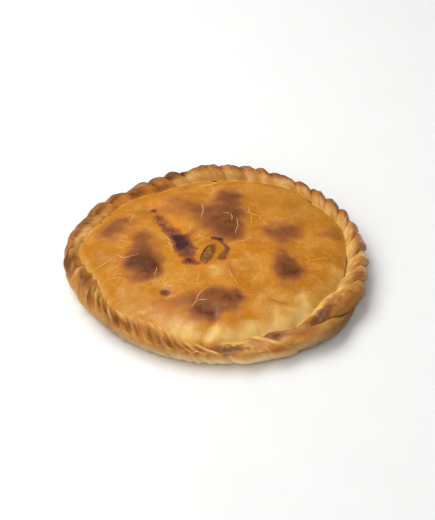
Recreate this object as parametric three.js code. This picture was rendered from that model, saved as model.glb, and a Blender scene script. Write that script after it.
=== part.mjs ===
// A whole round empanada: a flat-bottomed pie with a low domed lid, a rope-crimped rim
// and one small steam vent in the lid, in which the filling shows.
// Millimetres, +Z up. The front of the pie faces -Y, and it rests on its flat base at z = 0.

import * as THREE from "three";

// Plan: the wall's widest circle, with the waves that make it hand-formed.
// Each wave swells the outline in the direction it faces, in degrees from +X.
const MEAN_RADIUS = 150;
const OUTLINE_WAVES = [
  { order: 2, swell: 1.2, facing: -54.5 },
  { order: 3, swell: 3.2, facing: 57.5 },
  { order: 4, swell: 0.9, facing: -17 },
  { order: 5, swell: 0.9, facing: 24 },
];

// Lid: a round dome whose edge is uneven too, so that the rope round it varies in width.
const LID_RADIUS = 130;
const LID_WAVES = [
  { order: 1, swell: 2, facing: 171 },
  { order: 2, swell: 1.6, facing: 59 },
  { order: 3, swell: 3.9, facing: 44.5 },
  { order: 4, swell: 2, facing: -8 },
  { order: 7, swell: 1.2, facing: 11 },
  { order: 8, swell: 1.7, facing: -6 },
  { order: 9, swell: 2.3, facing: -19.5 },
];
const SHOULDER_RISE = 6.5;
const SHOULDER_LENGTH = 8;
const DOME_RISE = 7.5;

// Side wall and rope: heights of the section, and how far its points lie inside the widest one. The rope
// sank a little in some directions, each over a width in degrees.
const BASE_INSET = 17;
const FOOT_INSET = 8;
const FOOT_HEIGHT = 1.6;
const LOWER_WALL_INSET = 2.5;
const LOWER_WALL_HEIGHT = 6.5;
const WIDEST_HEIGHT = 13.5;
const UPPER_WALL_INSET = 0.8;
const UPPER_WALL_HEIGHT = 19;
const ROPE_HEIGHT = 26.9;
const ROPE_HEIGHT_WAVES = [
  { order: 1, swell: 4.2, facing: 90 },
  { order: 3, swell: 1.2, facing: 85 },
];
const ROPE_DIPS = [
  { facing: 57, width: 16, depth: 4 },
  { facing: 124, width: 14, depth: 2 },
  { facing: 162, width: 16, depth: 2.5 },
  { facing: 245, width: 38, depth: 3 },
];
const VALLEY_HEIGHT = 20;
const OUTER_SHOULDER = 0.27;
const CREST_PLACE = 0.5;
const INNER_SHOULDER = 0.78;
const OUTER_SHOULDER_DROP = 0.24;
const INNER_SHOULDER_DROP = 0.35;

// Rope: runs of folds round the rim, given by the angles at which their creases leave the valley.
// Boldness scales the relief, slant is the sideways lean of the creases as they cross the rope, edge is how
// far along the rim a fold's crest lies from its own crease, and tip is the share of its relief that is left
// in the valley. The last run is the one long flap at the front right that ends the crimping.
const FOLD_RUNS = [
  { creases: [-24, -15, -5, 7], boldness: 0.5, slant: 1.2, edge: 8, tip: 0.3 },
  { creases: [18, 26, 35, 44], boldness: 0.65, slant: 0.95, edge: 8, tip: 0.3 },
  { creases: [53, 64, 70, 77, 86], boldness: 0.6, slant: 0.9, edge: 8, tip: 0.3 },
  { creases: [103, 110, 118, 130, 140], boldness: 1.6, slant: 0.9, edge: 7, tip: 0.4 },
  { creases: [149, 156, 165, 172], boldness: 0.8, slant: 0.9, edge: 7, tip: 0.3 },
  { creases: [179, 185, 191], boldness: 1.3, slant: 0.9, edge: 6, tip: 0.4 },
  { creases: [197, 202, 207], boldness: 0.85, slant: 1.5, edge: 4.5, tip: 0.3 },
  { creases: [212, 218], boldness: 0.9, slant: 1.4, edge: 5, tip: 0.3 },
  { creases: [225, 230, 235], boldness: 0.85, slant: 1.25, edge: 4.5, tip: 0.3 },
  { creases: [240, 244.5, 249], boldness: 0.85, slant: 1.1, edge: 4.5, tip: 0.3 },
  { creases: [253.5, 258], boldness: 0.75, slant: 1, edge: 5, tip: 0.4 },
  { creases: [263.5], boldness: 1, slant: 1, edge: 14, tip: 0.7 },
  { creases: [279], boldness: 0.6, slant: 1, edge: 8, tip: 0.6 },
  { creases: [287.5], boldness: 1, slant: 1.1, edge: 9, tip: 0.7 },
  { creases: [295], boldness: 1.25, slant: 3.7, edge: 56, tip: 0.7 },
];
const FOLD_RELIEF = 4.6;
const CREASE_SHARE = 0.75;
const BOLDNESS_SPREAD = 0.7;
const ROPE_SECTION_LENGTH = 50;
const SLANT_REACH = 60;

// Relief of the folds up the section: none at the foot, full on the rope, less in the valley. The lid's edge
// follows the valley's ups and downs for a short way inwards.
const RELIEF_STARTS = 0.05;
const RELIEF_FULL = 0.42;
const RELIEF_WANES = 0.8;
const EDGE_BLEND = 6;

// Lid relief: bubbles that rose in the oven, each with its place, width, length and rise.
const BUBBLES = [
  { x: 6, y: 54, width: 50, length: 78, rise: 4.5 },
  { x: -73, y: -24, width: 40, length: 66, rise: 4.5 },
  { x: 0, y: -82, width: 66, length: 54, rise: 4.5 },
  { x: 67, y: -34, width: 38, length: 54, rise: 3.5 },
  { x: 66, y: 34, width: 46, length: 42, rise: 4.5 },
  { x: 112, y: 32, width: 30, length: 24, rise: 2 },
  { x: -102, y: 39, width: 38, length: 42, rise: 4 },
  { x: -36, y: 82, width: 42, length: 42, rise: 3.5 },
  { x: 58, y: 86, width: 48, length: 46, rise: 3 },
  { x: -92, y: -62, width: 44, length: 44, rise: 2.5 },
  { x: 44, y: -92, width: 44, length: 36, rise: 2.5 },
  { x: 98, y: -22, width: 34, length: 52, rise: 2 },
];

// Grooves in the lid, each from its deep end inwards: those that the crimping pulled, and the one in
// which the juice ran.
const PULL_CREASES = [
  { x: 76, y: -112, toX: 83, toY: -63, depth: 1.8, width: 5 },
  { x: 46, y: -124, toX: 58, toY: -85, depth: 1.8, width: 5 },
  { x: -13, y: -136, toX: -1, toY: -94, depth: 1.8, width: 5 },
  { x: -4, y: 127, toX: -17, toY: 107, depth: 1.8, width: 5 },
  { x: -72, y: 74, toX: -22, toY: -14, depth: 2.6, width: 9 },
];

// Vent: an oval hole with a raised lip, given by its half length, half width and turn in degrees.
const VENT_X = -11.8;
const VENT_Y = -15;
const VENT_HALF_LENGTH = 17.5;
const VENT_HALF_WIDTH = 6.2;
const VENT_TURN = 72;
const LIP_RISE = 0.9;
const LIP_CREST_SHARE = 0.9;
const HOLE_SHARE = 0.82;
const WELL_SHARE = 0.76;
const HOLE_EDGE_RISE = 0.4;
const WELL_DEPTH = 5;

// Filling in the vent: its gap to the well, its top above the lid, its bumps, and the rings of its dome,
// each by its share of the filling's width and of its height.
const FILLING_GAP = 0.4;
const FILLING_TOP = 0.4;
const FILLING_BUMP = 0.8;
const FILLING_SIDE = { width: 1, height: 0.6 };
const FILLING_SHOULDER = { width: 0.9, height: 0.9 };
const FILLING_CROWN = { width: 0.5, height: 1 };

// Mesh density: columns for each degree of rope and the fewest for a fold, closer beside a crease, steps up
// the rope's section, and the lid's rings, given by their share of the way from the valley to the vent and by
// how many of the rope's columns make one of theirs.
const COLUMNS_PER_DEGREE = 0.54;
const FEWEST_COLUMNS = 5;
const COLUMN_CROWDING = 1.4;
const SECTION_STEPS = 16;
const LID_RINGS = [
  { share: 0.018, thin: 1 },
  { share: 0.045, thin: 1 },
  { share: 0.085, thin: 1 },
  { share: 0.14, thin: 1 },
  { share: 0.21, thin: 2 },
  { share: 0.28, thin: 2 },
  { share: 0.36, thin: 2 },
  { share: 0.44, thin: 2 },
  { share: 0.52, thin: 3 },
  { share: 0.61, thin: 3 },
  { share: 0.7, thin: 5 },
  { share: 0.79, thin: 5 },
  { share: 0.88, thin: 7 },
  { share: 0.95, thin: 7 },
];
const VENT_COLUMNS = 30;

const TURN = 360;
const HALF = 0.5;
const BOLDNESS_SEED = 2;
const BUMP_SEED = 3;
const { degToRad, radToDeg, euclideanModulo, lerp, smoothstep, seededRandom } = THREE.MathUtils;

/** Repeatable numbers from -0.5 to 0.5, as many as are asked for. */
function scatter(count, seed) {
  seededRandom(seed);
  return Array.from({ length: count }, () => seededRandom() - HALF);
}

/** A hand-formed size in a direction, in degrees: its mean with its waves. */
function wavy(mean, waves, angle) {
  const swell = (wave) => wave.swell * Math.cos(wave.order * degToRad(angle - wave.facing));
  return waves.reduce((total, wave) => total + swell(wave), mean);
}

/** Height of the rope's crest in a direction, in degrees. */
function ropeHeight(angle) {
  const sunk = ROPE_DIPS.reduce((depth, dip) => {
    const off = euclideanModulo(angle - dip.facing + TURN / 2, TURN) - TURN / 2;
    return depth + dip.depth * Math.exp(-((off / dip.width) ** 2));
  }, 0);
  return wavy(ROPE_HEIGHT, ROPE_HEIGHT_WAVES, angle) - sunk;
}

/** Depth of the grooves in the lid at a place. */
function pullDepth(x, y) {
  const place = new THREE.Vector3(x, y, 0);
  const nearest = new THREE.Vector3();
  let depth = 0;
  for (const pull of PULL_CREASES) {
    const tip = new THREE.Vector3(pull.x, pull.y, 0);
    const end = new THREE.Vector3(pull.toX, pull.toY, 0);
    const groove = new THREE.Line3(tip, end);
    const share = groove.closestPointToPointParameter(place, true);
    const distance = groove.at(share, nearest).distanceTo(place);
    depth += pull.depth * (1 - share) * Math.exp(-((distance / pull.width) ** 2));
  }
  return depth;
}

/** Height of the lid's surface at a place. */
function lidHeight(x, y) {
  const edge = wavy(LID_RADIUS, LID_WAVES, radToDeg(Math.atan2(y, x)));
  const share = Math.min(Math.hypot(x, y) / edge, 1);
  const fromEdge = edge * (1 - share);
  const shoulder = SHOULDER_RISE * (1 - Math.exp(-fromEdge / SHOULDER_LENGTH));
  const dome = DOME_RISE * (1 - share ** 2);
  const bubbles = BUBBLES.reduce((height, bubble) => {
    const across = (x - bubble.x) / (bubble.width / 2);
    const along = (y - bubble.y) / (bubble.length / 2);
    return height + bubble.rise * Math.exp(-(across ** 2) - along ** 2);
  }, 0);
  return VALLEY_HEIGHT + shoulder + dome + bubbles - pullDepth(x, y);
}

/** The rim's section in a direction, from the edge of the base over the rope to the valley. */
function rimSection(angle) {
  const outside = wavy(MEAN_RADIUS, OUTLINE_WAVES, angle);
  const inside = wavy(LID_RADIUS, LID_WAVES, angle);
  const crest = ropeHeight(angle);
  const drop = crest - VALLEY_HEIGHT;
  const across = (share) => lerp(outside, inside, share);
  return new THREE.SplineCurve([
    new THREE.Vector2(outside - BASE_INSET, 0),
    new THREE.Vector2(outside - FOOT_INSET, FOOT_HEIGHT),
    new THREE.Vector2(outside - LOWER_WALL_INSET, LOWER_WALL_HEIGHT),
    new THREE.Vector2(outside, WIDEST_HEIGHT),
    new THREE.Vector2(outside - UPPER_WALL_INSET, UPPER_WALL_HEIGHT),
    new THREE.Vector2(across(OUTER_SHOULDER), crest - OUTER_SHOULDER_DROP * drop),
    new THREE.Vector2(across(CREST_PLACE), crest),
    new THREE.Vector2(across(INNER_SHOULDER), crest - INNER_SHOULDER_DROP * drop),
    new THREE.Vector2(inside, VALLEY_HEIGHT),
  ]);
}

/** The creases between the rope's folds, in order round the rim. */
function ropeCreases() {
  const creases = FOLD_RUNS.flatMap((run) => run.creases.map((angle) => ({ ...run, angle })));
  const draws = scatter(creases.length, BOLDNESS_SEED);
  return creases.map((crease, index) => ({
    ...crease,
    boldness: crease.boldness * (1 + BOLDNESS_SPREAD * draws[index]),
  }));
}

/** Columns of the rope: each has its angle at the valley, its relief, its slant and its fold's tip. */
function ropeColumns() {
  const creases = ropeCreases();
  return creases.flatMap((crease, index) => {
    const next = creases[index + 1] ?? { ...creases[0], angle: creases[0].angle + TURN };
    const pitch = next.angle - crease.angle;
    const columns = Math.max(FEWEST_COLUMNS, Math.round(pitch * COLUMNS_PER_DEGREE));
    const skew = Math.log(HALF) / Math.log(crease.edge / (degToRad(pitch) * LID_RADIUS));
    return Array.from({ length: columns }, (_, column) => {
      const step = (column / columns) ** COLUMN_CROWDING;
      const lobe = Math.sin(Math.PI * step ** skew);
      return {
        angle: lerp(crease.angle, next.angle, step),
        slant: lerp(crease.slant, next.slant, step),
        relief: FOLD_RELIEF * crease.boldness * (lobe - CREASE_SHARE),
        tip: crease.tip,
      };
    });
  });
}

/** A point of the rope, from its column and its share of the way up the section. */
function ropePoint(column, share) {
  const reach = ROPE_SECTION_LENGTH * (1 - share);
  const shift = column.slant * SLANT_REACH * (1 - Math.exp(-reach / SLANT_REACH));
  const angle = column.angle + radToDeg(shift / MEAN_RADIUS);
  const section = rimSection(angle);
  const point = section.getPoint(share);
  const tangent = section.getTangent(share);
  const wane = (1 - column.tip) * smoothstep(share, RELIEF_WANES, 1);
  const fade = smoothstep(share, RELIEF_STARTS, RELIEF_FULL) * (1 - wane);
  const radius = point.x + column.relief * fade * tangent.y;
  const height = point.y - column.relief * fade * tangent.x;
  return new THREE.Vector3(radius * Math.cos(degToRad(angle)), radius * Math.sin(degToRad(angle)), height);
}

/** A point on an oval about the vent, by its direction, its share of the vent's size and its height. */
function ventPoint(direction, share, height) {
  const turn = degToRad(VENT_TURN);
  const along = VENT_HALF_LENGTH * share * Math.cos(direction - turn);
  const across = VENT_HALF_WIDTH * share * Math.sin(direction - turn);
  return new THREE.Vector3(
    VENT_X + along * Math.cos(turn) - across * Math.sin(turn),
    VENT_Y + along * Math.sin(turn) + across * Math.cos(turn),
    height,
  );
}

/** A ring of the lid, part of the way from the valley to the vent. */
function lidRing(valley, { share, thin }) {
  return valley.filter((_, column) => column % thin === 0).map((edge) => {
    const direction = Math.atan2(edge.y - VENT_Y, edge.x - VENT_X);
    const goal = ventPoint(direction, 1, 0);
    const x = lerp(edge.x, goal.x, share);
    const y = lerp(edge.y, goal.y, share);
    const fromEdge = Math.hypot(x - edge.x, y - edge.y);
    const mismatch = edge.z - lidHeight(edge.x, edge.y);
    return new THREE.Vector3(x, y, lidHeight(x, y) + mismatch * Math.exp(-fromEdge / EDGE_BLEND));
  });
}

/** A ring about the vent, whose columns start where the valley's first column lies. */
function ventRing(start, share, height) {
  return Array.from({ length: VENT_COLUMNS }, (_, column) =>
    ventPoint(start + (column / VENT_COLUMNS) * 2 * Math.PI, share, height(column)),
  );
}

/** A closed surface through rings that run from the bottom to the top. A ring of one point is a pole. */
function skinRings(rings) {
  const positions = rings.flat().flatMap((point) => point.toArray());
  const triangles = [];
  let first = 0;
  rings.slice(1).forEach((upper, index) => {
    const lower = rings[index];
    const second = first + lower.length;
    const lowerSteps = lower.length > 1 ? lower.length : 0;
    const upperSteps = upper.length > 1 ? upper.length : 0;
    let below = 0;
    let above = 0;
    while (below < lowerSteps || above < upperSteps) {
      const a = first + (below % lower.length);
      const b = second + (above % upper.length);
      const lowerIsNext = (below + 1) / lower.length <= (above + 1) / upper.length;
      if (above === upperSteps || (below < lowerSteps && lowerIsNext)) {
        below += 1;
        triangles.push(a, first + (below % lower.length), b);
      } else {
        above += 1;
        triangles.push(a, second + (above % upper.length), b);
      }
    }
    first = second;
  });
  const geometry = new THREE.BufferGeometry();
  geometry.setAttribute("position", new THREE.Float32BufferAttribute(positions, 3));
  geometry.setIndex(triangles);
  geometry.computeVertexNormals();
  return geometry;
}

/** The baked dough: base, wall, rope, lid and the vent's well, as one surface. */
function crustGeometry() {
  const columns = ropeColumns();
  const shares = Array.from({ length: SECTION_STEPS + 1 }, (_, step) => step / SECTION_STEPS);
  const rope = shares.map((share) => columns.map((column) => ropePoint(column, share)));
  const valley = rope.at(-1);
  const start = Math.atan2(valley[0].y - VENT_Y, valley[0].x - VENT_X);
  const ventHeight = lidHeight(VENT_X, VENT_Y);
  const lipFoot = ventRing(start, 1, () => 0);
  lipFoot.forEach((point) => point.setZ(lidHeight(point.x, point.y)));
  return skinRings([
    [new THREE.Vector3(0, 0, 0)],
    ...rope,
    ...LID_RINGS.map((ring) => lidRing(valley, ring)),
    lipFoot,
    ventRing(start, LIP_CREST_SHARE, () => ventHeight + LIP_RISE),
    ventRing(start, HOLE_SHARE, () => ventHeight + HOLE_EDGE_RISE),
    ventRing(start, WELL_SHARE, () => ventHeight - WELL_DEPTH),
    [new THREE.Vector3(VENT_X, VENT_Y, ventHeight - WELL_DEPTH)],
  ]);
}

/** The lump of filling in the vent: it fills the well up to just under the lip. */
function fillingGeometry() {
  const ventHeight = lidHeight(VENT_X, VENT_Y);
  const floor = ventHeight - WELL_DEPTH + FILLING_GAP;
  const top = ventHeight + FILLING_TOP;
  const widest = WELL_SHARE - FILLING_GAP / VENT_HALF_WIDTH;
  const bumps = scatter(VENT_COLUMNS, BUMP_SEED);
  const ring = ({ width, height }, bump) =>
    ventRing(0, widest * width, (column) => lerp(floor, top, height) + bump * bumps[column]);
  return skinRings([
    [new THREE.Vector3(VENT_X, VENT_Y, floor)],
    ventRing(0, widest, () => floor),
    ring(FILLING_SIDE, 0),
    ring(FILLING_SHOULDER, FILLING_BUMP),
    ring(FILLING_CROWN, FILLING_BUMP),
    [new THREE.Vector3(VENT_X, VENT_Y, top)],
  ]);
}

const crust = new THREE.Mesh(
  crustGeometry(),
  new THREE.MeshStandardMaterial({ color: 0xc8903f, roughness: 0.5, metalness: 0 }),
);
crust.name = "crust";

const filling = new THREE.Mesh(
  fillingGeometry(),
  new THREE.MeshStandardMaterial({ color: 0x6f5523, roughness: 0.6, metalness: 0 }),
);
filling.name = "vent_filling";

// The pie is placed so that the middle of its outline, seen from above, is over the origin.
const middle = new THREE.Box3().setFromObject(crust).getCenter(new THREE.Vector3());
const pie = new THREE.Group();
pie.add(crust, filling);
pie.position.set(-middle.x, -middle.y, 0);

const empanada = new THREE.Group();
empanada.add(pie);

export default empanada;
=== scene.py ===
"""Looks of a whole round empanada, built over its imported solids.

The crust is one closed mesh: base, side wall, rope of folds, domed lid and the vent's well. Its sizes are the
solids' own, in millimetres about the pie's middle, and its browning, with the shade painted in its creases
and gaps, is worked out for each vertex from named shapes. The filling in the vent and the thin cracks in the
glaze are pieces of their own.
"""

import logging
import math
from dataclasses import astuple, dataclass, replace
from enum import Enum

import bmesh
import bpy
import numpy as np
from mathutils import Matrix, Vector, noise
from mathutils.bvhtree import BVHTree


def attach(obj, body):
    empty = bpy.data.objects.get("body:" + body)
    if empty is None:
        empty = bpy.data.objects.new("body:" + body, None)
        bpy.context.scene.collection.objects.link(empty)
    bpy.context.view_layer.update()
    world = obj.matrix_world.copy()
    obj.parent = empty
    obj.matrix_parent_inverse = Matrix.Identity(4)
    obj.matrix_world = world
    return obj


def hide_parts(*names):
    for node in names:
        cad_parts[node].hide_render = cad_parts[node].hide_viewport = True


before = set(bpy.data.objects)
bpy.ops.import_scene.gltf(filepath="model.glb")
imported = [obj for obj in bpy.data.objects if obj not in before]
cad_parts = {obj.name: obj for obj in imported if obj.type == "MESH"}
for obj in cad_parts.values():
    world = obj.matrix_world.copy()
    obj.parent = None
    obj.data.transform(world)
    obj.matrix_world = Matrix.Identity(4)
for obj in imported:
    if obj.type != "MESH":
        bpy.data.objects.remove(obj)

LOG = logging.getLogger("empanada")
ROOT_BODY = "root"
MM = 0.001
HALF = 0.5
TURN = 360.0
FULL_CIRCLE = 2 * math.pi
SMALL = 1e-9
MERGE_DISTANCE = 1e-7
WORD_MASK = 0xFFFFFFFF
WORD_SIZE = 2**32
SCREEN_WHITE = 255
WHITE = (1.0, 1.0, 1.0, 1.0)
MIX_SHARE, MIX_FIRST, MIX_SECOND, MIX_RESULT = 0, 6, 7, 2

# Looks that each vertex holds. gap is painted shade in the creases, the slits and the vent's well; olive and
# the wall's tone are partly painted shade; pale is partly painted highlight on the folds' backs and two lid
# strokes.
LOOKS = ("toast", "pale", "juice", "glow", "ochre", "olive", "rope", "wall", "bread", "gap", "under", "gloss")

Array = np.ndarray
Colour = tuple[float, float, float, float]
Place = tuple[float, float]
Looks = dict[str, Array]


class Zone(Enum):
    """Where on the crust a vertex lies, from the vent's middle outwards and under."""

    VENT = 0
    LID = 1
    RIM = 2
    BASE = 3


class Pattern(Enum):
    """The patterns of unevenness, each by the shift that sets it apart."""

    LIP = 0.0
    CRACK_X = 0.4
    STAIN_X = 1.3
    FILLING = 1.7
    WRINKLES = 2.3
    CRATER = 2.9
    LONG_WRINKLES = 3.1
    LID_WAVES = 3.7
    BLOTCHES = 4.4
    VENT_EDGE = 5.1
    STAIN_Y = 5.9
    ROPE = 6.1
    CRACK_Y = 7.7
    CRAGS = 8.2
    LID_DIMPLES = 9.1


def linear(red: float, green: float, blue: float) -> Colour:
    """A colour's linear shader value.

    Args:
        red: its red on the screen, from 0 to 255.
        green: its green.
        blue: its blue.

    Returns:
        The opaque colour.
    """
    toe, slope, offset, power = 0.04045, 12.92, 0.055, 2.4
    shares = [value / SCREEN_WHITE for value in (red, green, blue)]
    curved = [s / slope if s <= toe else ((s + offset) / (1 + offset)) ** power for s in shares]
    return (*curved, 1.0)


def smoothstep(value: Array, low: float | Array = 0.0, high: float | Array = 1.0) -> Array:
    """A smooth rise from 0 to 1 as a value goes from low to high."""
    share = np.clip((value - low) / (high - low), 0, 1)
    return share * share * (3 - 2 * share)


def bell(value: Array, width: float) -> Array:
    """A smooth hump of height 1 at nought that has mostly gone at its width."""
    return np.exp(-((value / width) ** 2))


def degrees_off(angle: Array, facing: float) -> Array:
    """How far each direction lies from the one faced, from -180 to 180 degrees."""
    return (angle - facing + TURN / 2) % TURN - TURN / 2


def stacked(x: Array, y: Array, z: Array | float) -> Array:
    """Places, one row each, from their coordinates."""
    return np.stack(np.broadcast_arrays(x, y, z), axis=1)


def round_places(angle: Array, radius: Array | float, height: Array | float) -> Array:
    """Places about the middle, one row each, from their directions in degrees, radii and heights."""
    turned = np.radians(angle)
    return stacked(radius * np.cos(turned), radius * np.sin(turned), height)


def closed(values: Array, round_adds: float = 0.0) -> Array:
    """Values round a circle, with the first again at the end and what a full round adds to it."""
    return np.append(values, values[0] + round_adds)


def rows(kind: type, *table: tuple) -> tuple:
    """A table's rows, each made into one of a kind."""
    return tuple(kind(*row) for row in table)


def lumps(points: Array, size: float, pattern: Pattern) -> Array:
    """Smooth unevenness from about -1 to 1 at each place, its lumps a size in mm apart."""
    shifted = points / size + pattern.value
    return np.array([noise.noise(Vector(point)) for point in shifted])


def seeded_draws(count: int, seed: int) -> list[float]:
    """Repeatable numbers from -0.5 to 0.5, the same ones that place the solids' folds.

    Args:
        count: how many numbers.
        seed: where the row of numbers starts.

    Returns:
        The numbers in order.
    """
    stride, first_shift, second_shift, last_shift, odd, odder = 0x6D2B79F5, 15, 7, 14, 1, 61
    state = seed
    draws = []
    for _ in range(count + 1):
        state = (state + stride) & WORD_MASK
        word = ((state ^ state >> first_shift) * (state | odd)) & WORD_MASK
        word ^= (word + (word ^ word >> second_shift) * (word | odder)) & WORD_MASK
        draws.append((word ^ word >> last_shift) / WORD_SIZE - HALF)
    return draws[1:]


@dataclass(frozen=True)
class Rise:
    """A smooth rise from nothing at a low value to a strength at a high one."""

    low: float
    high: float
    strength: float = 1.0

    def of(self, value: Array) -> Array:
        """The rise's height at each value."""
        return self.strength * smoothstep(value, self.low, self.high)


@dataclass(frozen=True)
class Wave:
    """A swell of a hand-formed circle: its order round the circle, its height and the degrees it faces."""

    order: int
    swell: float
    facing: float


@dataclass(frozen=True)
class Dip:
    """A stretch where the rope sank: the degrees it faces, its width in degrees and its depth."""

    facing: float
    width: float
    depth: float


@dataclass(frozen=True)
class FoldRun:
    """A run of folds: the degrees of its creases, its boldness, its slant and how far off its crests lie.

    The tip is the share of a fold's relief that is left in the valley.
    """

    creases: tuple[float, ...]
    boldness: float
    slant: float
    edge: float
    tip: float


@dataclass(frozen=True)
class Crease:
    """A crease between two folds, by its degrees at the valley; tint is how much its fold browned."""

    angle: float
    boldness: float
    slant: float
    edge: float
    tip: float
    tint: float


@dataclass(frozen=True)
class Bubble:
    """A bubble that rose in the lid, by its place, its width, its length and its rise."""

    x: float
    y: float
    width: float
    length: float
    rise: float


@dataclass(frozen=True)
class Streak:
    """A soft-edged stroke on the lid, from a place to a place, with its half width at each."""

    start_x: float
    start_y: float
    end_x: float
    end_y: float
    half_width: float
    end_half_width: float
    blur: float
    strength: float

    def along_and_away(self, x: Array, y: Array) -> tuple[Array, Array]:
        """Where places lie by the stroke's middle line.

        Args:
            x: the places' x.
            y: their y.

        Returns:
            Their shares of the way along the line, and their distances from it.
        """
        run_x, run_y = self.end_x - self.start_x, self.end_y - self.start_y
        length_squared = max(run_x**2 + run_y**2, SMALL)
        share = np.clip(((x - self.start_x) * run_x + (y - self.start_y) * run_y) / length_squared, 0, 1)
        return share, np.hypot(x - self.start_x - share * run_x, y - self.start_y - share * run_y)

    def cover(self, x: Array, y: Array) -> Array:
        """How much of the stroke lies on each place.

        Args:
            x: the places' x.
            y: their y.

        Returns:
            The cover, from 0 to the stroke's strength.
        """
        share, distance = self.along_and_away(x, y)
        edge = self.half_width + share * (self.end_half_width - self.half_width)
        return self.strength * (1 - smoothstep(distance - edge, -HALF * self.blur, HALF * self.blur))


def covering(streaks: tuple[Streak, ...], x: Array, y: Array) -> Array:
    """How far strokes that overlap cover each place, from 0 to 1."""
    return 1 - np.prod([1 - streak.cover(x, y) for streak in streaks], axis=0)


@dataclass(frozen=True)
class Slit:
    """A gap between the rope and the lid, by its degrees, its half length, its depth and the strength of the
    shade painted in it.
    """

    angle: float
    half_length: float
    depth: float
    # The strength of the painted shade in the gap.
    dark: float


@dataclass(frozen=True)
class RimTone:
    """How the rim baked and is shaded in one direction, each look from 0 to 1.

    brown is on the folds' steep faces, most of it at a place up the section. orange and pale are on the
    rope's inner side, crest is the brown of its outer edge, and the last is how light the wall is: its own
    paleness, and painted shade where it falls to nought on the right-front wall under the flap.
    """

    angle: float
    brown: float
    place: float
    orange: float
    pale: float
    crest: float
    bread: float


@dataclass(frozen=True)
class RimStain:
    """A place on the rim that browned more or less than its surroundings, or stayed paler; one paints the
    shadow under the flap.

    It has the degrees it faces, its width in degrees, its share of the way up the section and its spread.
    """

    angle: float
    width: float
    place: float
    spread: float
    toast: float
    pale: float


@dataclass(frozen=True)
class RopeColumns:
    """The rope's columns, one number each: place in its fold, relief, slant and the fold's own facts."""

    angle: Array
    slant: Array
    relief: Array
    lobe: Array
    after: Array
    before: Array
    edge: Array
    tip: Array
    tint: Array

    def chosen(self, column: Array) -> "RopeColumns":
        """The facts of the columns with these numbers."""
        return RopeColumns(*(values[column] for values in vars(self).values()))


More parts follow.
